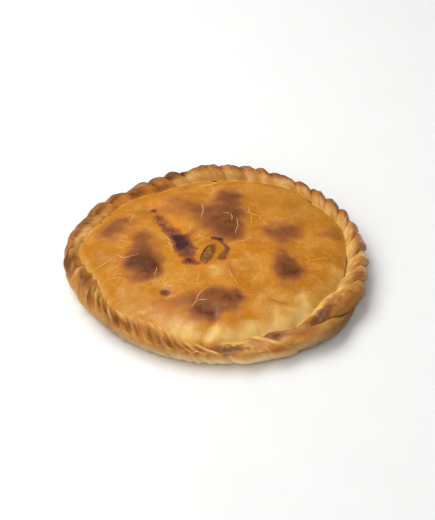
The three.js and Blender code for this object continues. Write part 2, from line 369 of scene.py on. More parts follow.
@dataclass(frozen=True)
class PieForm:
    """The solids' form: outline, section, folds, lid and vent, in mm about the pie's middle.

    A knot of the wall is its inset from the outline and its height. A knot of the rope is its share of the
    way from the outline to the lid, and its drop as a share of the crest's height over the valley.
    """

    mean_radius: float = 150.0
    outline_waves: tuple[Wave, ...] = rows(
        Wave,
        (2, 1.2, -54.5), (3, 3.2, 57.5), (4, 0.9, -17.0), (5, 0.9, 24.0),
    )
    lid_radius: float = 130.0
    lid_waves: tuple[Wave, ...] = rows(
        Wave,
        (1, 2.0, 171.0), (2, 1.6, 59.0), (3, 3.9, 44.5), (4, 2.0, -8.0), (7, 1.2, 11.0), (8, 1.7, -6.0),
        (9, 2.3, -19.5),
    )
    shoulder_rise: float = 6.5
    shoulder_length: float = 8.0
    dome_rise: float = 7.5
    base_inset: float = 17.0
    wall_knots: tuple[Place, ...] = ((8.0, 1.6), (2.5, 6.5), (0.0, 13.5), (0.8, 19.0))
    rope_height: float = 26.9
    rope_waves: tuple[Wave, ...] = (Wave(1, 4.2, 90.0), Wave(3, 1.2, 85.0))
    rope_dips: tuple[Dip, ...] = rows(
        Dip,
        (57.0, 16.0, 4.0), (124.0, 14.0, 2.0), (162.0, 16.0, 2.5), (245.0, 38.0, 3.0),
    )
    valley_height: float = 20.0
    rope_stands_full: float = 6.0
    rope_knots: tuple[Place, ...] = ((0.27, 0.24), (0.5, 0.0), (0.78, 0.35))
    fold_runs: tuple[FoldRun, ...] = rows(
        FoldRun,
        ((-24, -15, -5, 7), 0.5, 1.2, 8, 0.3), ((18, 26, 35, 44), 0.65, 0.95, 8, 0.3),
        ((53, 64, 70, 77, 86), 0.6, 0.9, 8, 0.3), ((103, 110, 118, 130, 140), 1.6, 0.9, 7, 0.4),
        ((149, 156, 165, 172), 0.8, 0.9, 7, 0.3), ((179, 185, 191), 1.3, 0.9, 6, 0.4),
        ((197, 202, 207), 0.85, 1.5, 4.5, 0.3), ((212, 218), 0.9, 1.4, 5, 0.3),
        ((225, 230, 235), 0.85, 1.25, 4.5, 0.3), ((240, 244.5, 249), 0.85, 1.1, 4.5, 0.3),
        ((253.5, 258), 0.75, 1.0, 5, 0.4), ((263.5,), 1.0, 1.0, 14, 0.7), ((279,), 0.6, 1.0, 8, 0.6),
        ((287.5,), 1.0, 1.1, 9, 0.7), ((295,), 1.25, 3.7, 56, 0.7),
    )
    fold_relief: float = 4.6
    crease_share: float = 0.75
    boldness_spread: float = 0.7
    boldness_seed: int = 2
    tint_spread: float = 1.2
    tint_seed: int = 984
    rope_section_length: float = 50.0
    slant_reach: float = 60.0
    relief_starts: float = 0.05
    relief_full: float = 0.42
    relief_wanes: float = 0.8
    edge_blend: float = 6.0
    bubbles: tuple[Bubble, ...] = rows(
        Bubble,
        (6, 54, 50, 78, 4.5), (-73, -24, 40, 66, 4.5), (0, -82, 66, 54, 4.5), (67, -34, 38, 54, 3.5),
        (66, 34, 46, 42, 4.5), (112, 32, 30, 24, 2), (-102, 39, 38, 42, 4), (-36, 82, 42, 42, 3.5),
        (58, 86, 48, 46, 3), (-92, -62, 44, 44, 2.5), (44, -92, 44, 36, 2.5), (98, -22, 34, 52, 2),
    )
    pulls: tuple[Streak, ...] = rows(
        Streak,
        (76, -112, 83, -63, 5, 5, 1, 1.8), (46, -124, 58, -85, 5, 5, 1, 1.8),
        (-13, -136, -1, -94, 5, 5, 1, 1.8), (-4, 127, -17, 107, 5, 5, 1, 1.8),
        (-72, 74, -22, -14, 9, 9, 1, 2.6),
    )
    vent_x: float = -11.8
    vent_y: float = -15.0
    vent_half_length: float = 17.5
    vent_half_width: float = 6.2
    vent_turn: float = 72.0
    lip_rise: float = 0.9
    lip_crest_share: float = 0.9
    hole_share: float = 0.82
    well_share: float = 0.76
    hole_edge_rise: float = 0.4
    well_depth: float = 5.0
    middle_x: float = 3.834
    middle_y: float = -0.228

    def wavy(self, mean: float, waves: tuple[Wave, ...], angle: Array) -> Array:
        """A hand-formed size in each direction, in degrees: its mean with its waves."""
        swells = [w.swell * np.cos(w.order * np.radians(angle - w.facing)) for w in waves]
        return mean + np.sum(swells, axis=0)

    def spline(self, knots: list[tuple[Array, Array]], share: Array) -> tuple[Array, Array, Array, Array]:
        """A smooth curve through evenly timed knots.

        Args:
            knots: each knot's two coordinates.
            share: how far along the curve, from 0 to 1.

        Returns:
            The two coordinates there and the curve's unit direction.
        """
        both = np.array([np.broadcast_arrays(first, second, share)[:2] for first, second in knots])
        last = len(knots) - 1
        index = np.minimum((share * last).astype(int), last - 1)
        weight = share * last - index
        column = np.arange(len(share))
        near = [np.clip(index + offset, 0, last) for offset in (-1, 0, 1, 2)]
        before, here, after, beyond = (both[place, :, column].T for place in near)
        leave, arrive = (after - before) / 2, (beyond - here) / 2
        cubic = 2 * here - 2 * after + leave + arrive
        square = -3 * here + 3 * after - 2 * leave - arrive
        point = ((cubic * weight + square) * weight + leave) * weight + here
        slope = (3 * cubic * weight + 2 * square) * weight + leave
        slope = slope / np.maximum(np.hypot(*slope), SMALL)
        return point[0], point[1], slope[0], slope[1]

    def rim_section(self, angle: Array, share: Array) -> tuple[Array, Array, Array, Array]:
        """The rim's section, from the base's edge over the rope to the valley.

        Args:
            angle: the directions, in degrees.
            share: how far along the section, from 0 at the base's edge to 1 in the valley.

        Returns:
            The radius and the height there, and the section's unit direction.
        """
        outside = self.wavy(self.mean_radius, self.outline_waves, angle)
        inside = self.wavy(self.lid_radius, self.lid_waves, angle)
        crest = self.rope_crest(angle)
        drop = crest - self.valley_height
        knots = [(outside - self.base_inset, 0.0)]
        knots += [(outside - inset, height) for inset, height in self.wall_knots]
        knots += [(outside + way * (inside - outside), crest - fall * drop) for way, fall in self.rope_knots]
        return self.spline([*knots, (inside, self.valley_height)], share)

    def rope_crest(self, angle: Array) -> Array:
        """The height of the rope's crest in each direction, in degrees."""
        sunk = [dip.depth * bell(degrees_off(angle, dip.facing), dip.width) for dip in self.rope_dips]
        return self.wavy(self.rope_height, self.rope_waves, angle) - np.sum(sunk, axis=0)

    def rope_stands(self, angle: Array) -> Array:
        """How far the rope stands above the valley in each direction, from 0 to 1."""
        return np.clip((self.rope_crest(angle) - self.valley_height) / self.rope_stands_full, 0, 1)

    def creases(self) -> list[Crease]:
        """The creases between the rope's folds.

        Returns:
            The creases, in order round the rim.
        """
        folds = [(angle, run) for run in self.fold_runs for angle in run.creases]
        bold_draws = seeded_draws(len(folds), self.boldness_seed)
        tint_draws = seeded_draws(len(folds), self.tint_seed)
        creases = []
        for (angle, run), bold, tint in zip(folds, bold_draws, tint_draws):
            boldness = run.boldness * (1 + self.boldness_spread * bold)
            browned = 1 + self.tint_spread * tint
            creases.append(Crease(angle, boldness, run.slant, run.edge, run.tip, browned))
        return creases

    def rope_columns(self, per_degree: float, crowding: float) -> RopeColumns:
        """The columns of the rope's mesh, closer together beside each crease.

        Args:
            per_degree: columns for each degree of the rim.
            crowding: how much closer they lie where a fold's steep edge starts.

        Returns:
            The columns, in order round the rim.
        """
        creases = self.creases()
        after = creases[1:] + [replace(creases[0], angle=creases[0].angle + TURN)]
        parts = []
        for crease, following in zip(creases, after):
            pitch = following.angle - crease.angle
            length = math.radians(pitch) * self.lid_radius
            count = round(pitch * per_degree)
            step = (np.arange(count) / count) ** crowding
            skew = math.log(HALF) / math.log(crease.edge / length)
            lobe = np.sin(np.pi * step**skew)
            angle = crease.angle + pitch * step
            slant = crease.slant + (following.slant - crease.slant) * step
            relief = self.fold_relief * crease.boldness * (lobe - self.crease_share)
            own = [np.full(count, value) for value in (crease.edge, crease.tip, crease.tint)]
            parts.append([angle, slant, relief, lobe, step * length, (1 - step) * length, *own])
        return RopeColumns(*[np.concatenate(column) for column in zip(*parts)])

    def slanted(self, angle: Array, slant: Array, share: Array) -> Array:
        """The directions of the rope's points, whose creases lean sideways as they go outwards."""
        lean = 1 - np.exp(-self.rope_section_length * (1 - share) / self.slant_reach)
        return angle + np.degrees(slant * self.slant_reach * lean / self.mean_radius)

    def relief_fade(self, share: Array, tip: Array) -> Array:
        """How much of the folds' relief shows at each share of the section."""
        wane = (1 - tip) * smoothstep(share, self.relief_wanes, 1.0)
        return smoothstep(share, self.relief_starts, self.relief_full) * (1 - wane)

    def lid_height(self, x: Array, y: Array) -> Array:
        """The height of the lid's surface.

        Args:
            x: the places' x.
            y: their y.

        Returns:
            The height at each place.
        """
        edge = self.wavy(self.lid_radius, self.lid_waves, np.degrees(np.arctan2(y, x)))
        share = np.minimum(np.hypot(x, y) / edge, 1)
        height = self.valley_height + self.dome_rise * (1 - share**2)
        height = height + self.shoulder_rise * (1 - np.exp(-edge * (1 - share) / self.shoulder_length))
        for bubble in self.bubbles:
            across = (x - bubble.x) / (HALF * bubble.width)
            along = (y - bubble.y) / (HALF * bubble.length)
            height = height + bubble.rise * np.exp(-(across**2) - along**2)
        for pull in self.pulls:
            share, distance = pull.along_and_away(x, y)
            height = height - pull.strength * (1 - share) * bell(distance, pull.half_width)
        return height

    def vent_height(self) -> float:
        """The height of the lid where the vent is."""
        return float(self.lid_height(np.array([self.vent_x]), np.array([self.vent_y]))[0])

    def vent_place(self, direction: Array, share: Array) -> tuple[Array, Array]:
        """Places on ovals about the vent.

        Args:
            direction: the places' directions, in radians.
            share: the ovals' sizes, as shares of the vent's.

        Returns:
            Their x and their y.
        """
        turn = math.radians(self.vent_turn)
        along = self.vent_half_length * share * np.cos(direction - turn)
        across = self.vent_half_width * share * np.sin(direction - turn)
        x = self.vent_x + along * math.cos(turn) - across * math.sin(turn)
        y = self.vent_y + along * math.sin(turn) + across * math.cos(turn)
        return x, y

    def in_frame(self, points: Array) -> Array:
        """Places about the pie's middle, in mm, as places in the frame, in metres."""
        return (points + np.array([self.middle_x, self.middle_y, 0.0])) * MM


class Shade:
    """A shader value that Python's operators combine, each adding its Math node."""

    def __init__(self, painter: "Painter", socket: bpy.types.NodeSocket) -> None:
        """Wraps a socket of the painter's material."""
        self.painter = painter
        self.socket = socket

    def __add__(self, other: "Shade | float") -> "Shade":
        """The sum."""
        return self.painter.math("ADD", self, other)

    def __radd__(self, other: float) -> "Shade":
        """The sum, with a number first."""
        return self.painter.math("ADD", other, self)

    def __sub__(self, other: "Shade | float") -> "Shade":
        """The difference."""
        return self.painter.math("SUBTRACT", self, other)

    def __rsub__(self, other: float) -> "Shade":
        """The difference from a number."""
        return self.painter.math("SUBTRACT", other, self)

    def __mul__(self, other: "Shade | float") -> "Shade":
        """The product."""
        return self.painter.math("MULTIPLY", self, other)

    def __rmul__(self, other: float) -> "Shade":
        """The product, with a number first."""
        return self.painter.math("MULTIPLY", other, self)

    def through(self, rise: Rise) -> "Shade":
        """The height of a rise at this value."""
        sockets = {"Value": self, "From Min": rise.low, "From Max": rise.high, "To Max": rise.strength}
        return self.painter.node("ShaderNodeMapRange", {"interpolation_type": "SMOOTHSTEP"}, sockets)


class Painter:
    """Builds one material's nodes."""

    def __init__(self, name: str) -> None:
        """Starts an empty material.

        Args:
            name: the material's name.
        """
        self.material = bpy.data.materials.new(name)
        self.material.use_nodes = True
        self.tree = self.material.node_tree
        self.tree.nodes.clear()
        self.place = self.node("ShaderNodeTexCoord", {}, {}, "Object")

    def node(
        self,
        kind: str,
        settings: dict[str, object],
        sockets: dict[str | int, object],
        output: str | int = 0,
    ) -> Shade:
        """Adds a node.

        Args:
            kind: the node's type.
            settings: the node's own settings, set first.
            sockets: the value or link of each input, by name or number.
            output: the output that is wanted.

        Returns:
            That output.
        """
        made = self.tree.nodes.new(kind)
        for setting, value in settings.items():
            setattr(made, setting, value)
        for key, value in sockets.items():
            if isinstance(value, Shade):
                self.tree.links.new(value.socket, made.inputs[key])
            else:
                made.inputs[key].default_value = value
        return Shade(self, made.outputs[output])

    def math(self, operation: str, first: Shade | float, second: Shade | float) -> Shade:
        """A Math node on two values."""
        return self.node("ShaderNodeMath", {"operation": operation}, {0: first, 1: second})

    def attribute(self, name: str, output: str = "Fac") -> Shade:
        """What the mesh holds for each vertex, as a number or a vector."""
        return self.node("ShaderNodeAttribute", {"attribute_name": name}, {}, output)

    def grain(self, size: float, detail: float = 2.0, roughness: float = HALF) -> Shade:
        """Noise whose lumps are about a size in mm apart, from 0 to 1 about a half."""
        return self.noise(self.place, 1 / (size * MM), detail, roughness)

    def noise(self, place: Shade, scale: float, detail: float, roughness: float) -> Shade:
        """Noise at a place, from 0 to 1 about a half."""
        sockets = {"Vector": place, "Scale": scale, "Detail": detail, "Roughness": roughness}
        return self.node("ShaderNodeTexNoise", {}, sockets, "Fac")

    def mix(self, first: Shade | Colour, second: Shade | Colour, share: Shade | float) -> Shade:
        """A mix of two colours."""
        sockets = {MIX_SHARE: share, MIX_FIRST: first, MIX_SECOND: second}
        return self.node("ShaderNodeMix", {"data_type": "RGBA"}, sockets, MIX_RESULT)

    def layered(self, colour: Shade | Colour, layers: list[tuple[Shade | Colour, Shade | float]]) -> Shade:
        """A colour under layers.

        Args:
            colour: the lowest colour.
            layers: each layer's colour and how much of it shows, from below upwards.

        Returns:
            The colour that is seen.
        """
        for layer, share in layers:
            colour = self.mix(colour, layer, share)
        return colour

    def bump(self, height: Shade, depth: float) -> Shade:
        """The surface's direction as a height from 0 to 1 bends it, for a depth in mm."""
        sockets = {"Height": height, "Strength": 1.0, "Distance": depth * MM}
        return self.node("ShaderNodeBump", {}, sockets, "Normal")

    def finish(self, sockets: dict[str | int, object]) -> bpy.types.Material:
        """Ends the material in one principled shader.

        Args:
            sockets: the shader's values and links, by name.

        Returns:
            The material.
        """
        shader = self.node("ShaderNodeBsdfPrincipled", {}, sockets, "BSDF")
        output = self.tree.nodes.new("ShaderNodeOutputMaterial")
        self.tree.links.new(shader.socket, output.inputs["Surface"])
        return self.material


@dataclass(frozen=True)
class Mottle:
    """How unevenly a look shows: what it owes to the patches, the specks and the rope's strands."""

    patches: float
    specks: float
    strands: float = 0.0

    def of(self, grains: "Grains") -> Shade:
        """The unevenness, about nought."""
        uneven = self.patches * (grains.patchy - HALF) + self.specks * (grains.speckle - HALF)
        return uneven + self.strands * (grains.rope * (grains.strand - HALF))


@dataclass(frozen=True)
class Grains:
    """The patterns and the vertices' looks that several layers of the crust's finish share."""

    patchy: Shade
    speckle: Shade
    fine: Shade
    glaze: Shade
    strand: Shade
    rope: Shade
    wall: Shade
    toast: Shade


@dataclass(frozen=True)
class CrustFinish:
    """Egg-glazed baked dough, from pale folds over gold to brown blisters and dark dried juice, with painted
    shade in its gaps.

    Sizes are in mm. A Rise says where a pattern or a look turns into a colour, and how strongly.
    """

    gold: Colour = linear(194, 123, 34)
    deep_gold: Colour = linear(178, 105, 12)
    light_gold: Colour = linear(212, 149, 58)
    ochre: Colour = linear(176, 114, 18)
    dough: Colour = linear(202, 146, 68)
    amber: Colour = linear(172, 106, 46)
    brown: Colour = linear(136, 79, 39)
    dark_brown: Colour = linear(92, 50, 26)
    rope_brown: Colour = linear(142, 92, 40)
    pale: Colour = linear(228, 184, 106)
    orange: Colour = linear(208, 124, 24)
    juice: Colour = linear(54, 29, 30)
    juice_rim: Colour = linear(132, 72, 42)
    # The wall's dark end: its baked brown, and painted shade where the right-front wall lies under the flap.
    wall_brown_and_shade: Colour = linear(126, 86, 42)
    wall_pale: Colour = linear(240, 210, 158)
    base: Colour = linear(176, 124, 66)
    # Painted shade for the folds' creases, the slits between rope and lid and the vent's well.
    gap: Colour = linear(74, 46, 18)
    # A greener tone in and beside the valley between rope and lid, partly the dough's own and partly painted
    # shade.
    olive: Colour = linear(184, 134, 52)
    juice_speck: Colour = linear(104, 58, 46)
    sheen: float = 0.06
    coat: float = 0.4
    coat_roughness: float = 0.2
    roughness: float = 0.5
    broad_size: float = 26.0
    patch_size: float = 9.0
    speck_size: float = 2.6
    fine_size: float = 1.1
    glaze_size: float = 13.0
    rich_detail: float = 3.0
    rich_roughness: float = 0.6
    swerve_size: float = 16.0
    swerve: float = 12.0
    hairline_cell: float = 19.0
    hairline_width: Rise = Rise(0.005, 0.03)
    hairline_patches: Rise = Rise(0.48, 0.62, 0.38)
    gold_breadth: Rise = Rise(0.35, 0.65)
    gold_share: float = 0.35
    orange_patches: Rise = Rise(0.52, 0.7, 0.5)
    light_patches: Rise = Rise(0.52, 0.68, 0.6)
    light_specks: Rise = Rise(0.5, 0.7, 0.35)
    deep_specks: Rise = Rise(0.46, 0.62, 0.6)
    amber_specks: Rise = Rise(0.56, 0.72, 0.5)
    rope_dough: float = 0.65
    rope_specks: Rise = Rise(0.5, 0.68, 0.45)
    glow_least: float = 0.36
    glow_patches: float = 0.8
    bread_mottle: Mottle = Mottle(0.5, 0.6)
    wall_cover: Rise = Rise(0.05, 0.8, 0.92)
    toast_gain: float = 1.2
    toast_starts: Rise = Rise(0.03, 0.4)
    toast_mottle: Mottle = Mottle(0.5, 0.35, 0.7)
    pale_starts: Rise = Rise(0.0, 0.4)
    pale_mottle: Mottle = Mottle(0.7, 0.3)
    pale_strands: float = 0.5
    pale_cover: Rise = Rise(0.1, 0.9)
    amber_toast: Rise = Rise(0.06, 0.42, 0.9)
    brown_toast: Rise = Rise(0.32, 0.82)
    dark_toast: Rise = Rise(0.75, 1.15)
    rope_less_dark: float = 0.4
    juice_starts: Rise = Rise(0.05, 0.3)
    juice_mottle: Mottle = Mottle(0.6, 0.8)
    juice_specks: Rise = Rise(0.48, 0.68, 0.7)
    juice_edge: Rise = Rise(0.1, 0.5, 0.9)
    juice_cover: Rise = Rise(0.48, 0.94)
    under_patches: Rise = Rise(0.4, 0.65, 0.7)
    under_specks: Rise = Rise(0.52, 0.7, 0.35)
    # How strongly the painted shade in the gaps shows.
    painted_shade_cover: Rise = Rise(0.15, 0.9, 0.9)
    wall_roughness: float = 0.15
    rough_mottle: Mottle = Mottle(0.15, 0.25)
    relief: float = 0.35
    patch_height: float = 0.6
    speck_height: float = 0.45
    rope_speck_height: float = 0.9
    wall_speck_height: float = 0.7
    fine_height: float = 0.15
    strand_height: float = 2.2
    coat_least: float = 0.15
    coat_patches: Rise = Rise(0.42, 0.66, 0.5)
    toast_dulls: float = 0.65
    gloss_gain: float = 1.3

    def grains(self, paint: Painter) -> Grains:
        """Adds the shared patterns and looks."""
        strands = paint.attribute("strand", "Vector")
        return Grains(
            patchy=paint.grain(self.patch_size, self.rich_detail),
            speckle=paint.grain(self.speck_size, self.rich_detail, self.rich_roughness),
            fine=paint.grain(self.fine_size),
            glaze=paint.grain(self.glaze_size),
            strand=paint.noise(strands, 1.0, self.rich_detail, self.rich_roughness),
            rope=paint.attribute("rope"),
            wall=paint.attribute("wall"),
            toast=paint.attribute("toast"),
        )

    def hairlines(self, paint: Painter, grains: Grains) -> Shade:
        """Hair-thin cracks in patches of the glaze, away from the rope.

        Args:
            paint: the material's painter.
            grains: the shared patterns and looks.

        Returns:
            How much of a crack shows, from 0 to 1.
        """
        swerve = {"Vector": paint.place, "Scale": 1 / (self.swerve_size * MM), "Detail": 1.0}
        drift = paint.node("ShaderNodeTexNoise", {}, swerve, "Color")
        sockets = {0: drift, 1: (self.swerve * MM,) * 3, 2: paint.place}
        wandering = paint.node("ShaderNodeVectorMath", {"operation": "MULTIPLY_ADD"}, sockets)
        cells = {"Vector": wandering, "Scale": 1 / (self.hairline_cell * MM)}
        seam = paint.node("ShaderNodeTexVoronoi", {"feature": "DISTANCE_TO_EDGE"}, cells, "Distance")
        cracked = (1 - seam.through(self.hairline_width)) * (1 - grains.rope)
        return cracked * grains.glaze.through(self.hairline_patches)

    def golden(self, paint: Painter, grains: Grains) -> Shade:
        """The glazed dough's colour where nothing browned it.

        Args:
            paint: the material's painter.
            grains: the shared patterns and looks.

        Returns:
            The colour.
        """
        patchy, speckle, fine, rope = grains.patchy, grains.speckle, grains.fine, grains.rope
        broad = paint.grain(self.broad_size)
        glow = paint.attribute("glow") * (self.glow_least + self.glow_patches * patchy)
        # The wall's colour, from its dark end, which in places is painted shade, to its pale end.
        bread = paint.attribute("bread") + self.bread_mottle.of(grains)
        bread = paint.mix(self.wall_brown_and_shade, self.wall_pale, bread)
        layers = [
            (self.light_gold, broad.through(self.gold_breadth)),
            (self.gold, self.gold_share),
            (self.orange, patchy.through(self.orange_patches)),
            (self.light_gold, (1 - patchy).through(self.light_patches)),
            (self.light_gold, speckle.through(self.light_specks)),
            (self.deep_gold, fine.through(self.deep_specks)),
            (self.amber, fine.through(self.amber_specks)),
            (self.pale, self.hairlines(paint, grains)),
            (self.dough, self.rope_dough * rope),
            (self.amber, rope * speckle.through(self.rope_specks)),
            (self.orange, glow),
            (self.ochre, paint.attribute("ochre")),
            # Olive in the valley, partly painted shade there.
            (self.olive, paint.attribute("olive")),
            (bread, grains.wall.through(self.wall_cover)),
        ]
        return paint.layered(self.deep_gold, layers)

    def browned(self, paint: Painter, grains: Grains, colour: Shade) -> Shade:
        """The crust's colour with its pale, toasted and juicy places, its underside and the shade painted in
        its gaps.

        Args:
            paint: the material's painter.
            grains: the shared patterns and looks.
            colour: the glazed dough's colour.

        Returns:
            The colour.
        """
        toast, pale, juice = grains.toast, paint.attribute("pale"), paint.attribute("juice")
        toast = self.toast_gain * toast + toast.through(self.toast_starts) * self.toast_mottle.of(grains)
        pale = pale + pale.through(self.pale_starts) * self.pale_mottle.of(grains)
        pale = pale + self.pale_strands * (grains.rope * (grains.strand - HALF))
        juice = juice + juice.through(self.juice_starts) * self.juice_mottle.of(grains)
        dried = paint.mix(self.juice, self.juice_speck, grains.fine.through(self.juice_specks))
        underside = paint.mix(self.base, self.amber, grains.patchy.through(self.under_patches))
        underside = paint.mix(underside, self.wall_pale, grains.speckle.through(self.under_specks))
        less_dark = 1 - self.rope_less_dark * grains.rope
        layers = [
            # Paler dough, with painted highlights on the folds' backs and on two lid strokes.
            (self.pale, pale.through(self.pale_cover)),
            (self.amber, toast.through(self.amber_toast)),
            (paint.mix(self.brown, self.rope_brown, grains.rope), toast.through(self.brown_toast)),
            (self.dark_brown, toast.through(self.dark_toast) * less_dark),
            (self.juice_rim, juice.through(self.juice_edge)),
            (dried, juice.through(self.juice_cover)),
            (underside, paint.attribute("under")),
            # Painted shade in the creases, the slits and the vent's well.
            (self.gap, paint.attribute("gap").through(self.painted_shade_cover)),
        ]
        return paint.layered(colour, layers)

    def material(self) -> bpy.types.Material:
        """Makes the material, which reads the browning that the crust's mesh holds.

        Returns:
            The material.
        """
        paint = Painter("baked_crust")
        grains = self.grains(paint)
        patchy, speckle, rope, wall = grains.patchy, grains.speckle, grains.rope, grains.wall
        rough = self.roughness + self.wall_roughness * wall + self.rough_mottle.of(grains)
        grit = self.speck_height + self.rope_speck_height * rope + self.wall_speck_height * wall
        height = self.patch_height * patchy + grit * speckle + self.fine_height * grains.fine
        height = height + self.strand_height * rope * grains.strand
        shine = self.coat_least + grains.glaze.through(self.coat_patches) + rope
        coat = (1 - self.toast_dulls * grains.toast) * shine + self.gloss_gain * paint.attribute("gloss")
        return paint.finish(
            {
                "Base Color": self.browned(paint, grains, self.golden(paint, grains)),
                "Roughness": rough,
                "Specular IOR Level": self.sheen,
                "Coat Weight": self.coat * (1 - wall) * coat,
                "Coat Roughness": self.coat_roughness,
                "Normal": paint.bump(height, self.relief),
            }
        )


@dataclass(frozen=True)
class FillingFinish:
    """Moist olive-brown cooked filling, whose shreds run along the vent. Sizes are in mm."""

    olive: Colour = linear(160, 106, 38)
    brown: Colour = linear(122, 74, 24)
    dark: Colour = linear(72, 44, 20)
    turn: float = math.radians(-72)
    shred_stretch: float = 0.4
    shred_size: float = 2.4
    shred_detail: float = 3.0
    shred_roughness: float = 0.6
    grain_size: float = 3.2
    olive_shreds: Rise = Rise(0.38, 0.6)
    dark_grains: Rise = Rise(0.5, 0.66, 0.6)
    grain_height: float = 0.4
    relief: float = 1.2
    roughness: float = 0.45
    grain_roughness: float = 0.2
    sheen: float = 0.2

    def material(self) -> bpy.types.Material:
        """Makes the material.

        Returns:
            The material.
        """
        paint = Painter("cooked_filling")
        stretch = (self.shred_stretch, 1.0, 1.0)
        sockets = {"Vector": paint.place, "Rotation": (0.0, 0.0, self.turn), "Scale": stretch}
        along = paint.node("ShaderNodeMapping", {}, sockets)
        shreds = paint.noise(along, 1 / (self.shred_size * MM), self.shred_detail, self.shred_roughness)
        fine = paint.grain(self.grain_size)
        colour = paint.mix(self.brown, self.olive, shreds.through(self.olive_shreds))
        return paint.finish(
            {
                "Base Color": paint.mix(colour, self.dark, fine.through(self.dark_grains)),
                "Roughness": self.roughness + self.grain_roughness * fine,
                "Specular IOR Level": self.sheen,
                "Normal": paint.bump(shreds + self.grain_height * fine, self.relief),
            }
        )


@dataclass(frozen=True)
class CrackFinish:
    """Pale dough that shows where the glaze cracked. Sizes are in mm."""

    pale: Colour = linear(232, 178, 104)
    golden: Colour = linear(210, 146, 68)
    patch_size: float = 4.0
    pale_patches: Rise = Rise(0.35, 0.6)
    crumb_size: float = 1.0
    crumb_detail: float = 1.0
    roughness: float = 0.5
    crumb_roughness: float = 0.2

    def material(self) -> bpy.types.Material:
        """Makes the material.

        Returns:
            The material.
        """
        paint = Painter("cracked_glaze")
        patches = paint.grain(self.patch_size).through(self.pale_patches)
        crumbs = paint.grain(self.crumb_size, self.crumb_detail)
        colour = paint.mix(self.golden, self.pale, patches)
        rough = self.roughness + self.crumb_roughness * crumbs
        return paint.finish({"Base Color": colour, "Roughness": rough})


@dataclass(frozen=True)
class FloorFinish:
    """Plain white paper. Sizes are in mm."""

    light: Colour = linear(244, 244, 243)
    shade: Colour = linear(240, 240, 239)
    cloud_size: float = 60.0
    fibre_size: float = 5.0
    roughness: float = 0.8
    fibre_roughness: float = 0.1

    def material(self) -> bpy.types.Material:
        """Makes the material.

        Returns:
            The material.
        """
        paint = Painter("floor_paper")
        colour = paint.mix(self.shade, self.light, paint.grain(self.cloud_size))
        rough = self.roughness + self.fibre_roughness * paint.grain(self.fibre_size)
        return paint.finish({"Base Color": colour, "Roughness": rough})


def object_from(name: str, shape: bmesh.types.BMesh, material: bpy.types.Material) -> bpy.types.Object:
    """Makes a smooth-shaded object at the origin from a finished shape.

    Args:
        name: the piece's name.
        shape: its mesh, in the frame and in metres. It is freed.
        material: its one material.

    Returns:
        The object, linked to the scene.
    """
    bmesh.ops.recalc_face_normals(shape, faces=shape.faces)
    for face in shape.faces:
        face.smooth = True
    mesh = bpy.data.meshes.new(name)
    shape.to_mesh(mesh)
    shape.free()
    mesh.materials.append(material)
    piece = bpy.data.objects.new(name, mesh)
    bpy.context.scene.collection.objects.link(piece)
    return piece


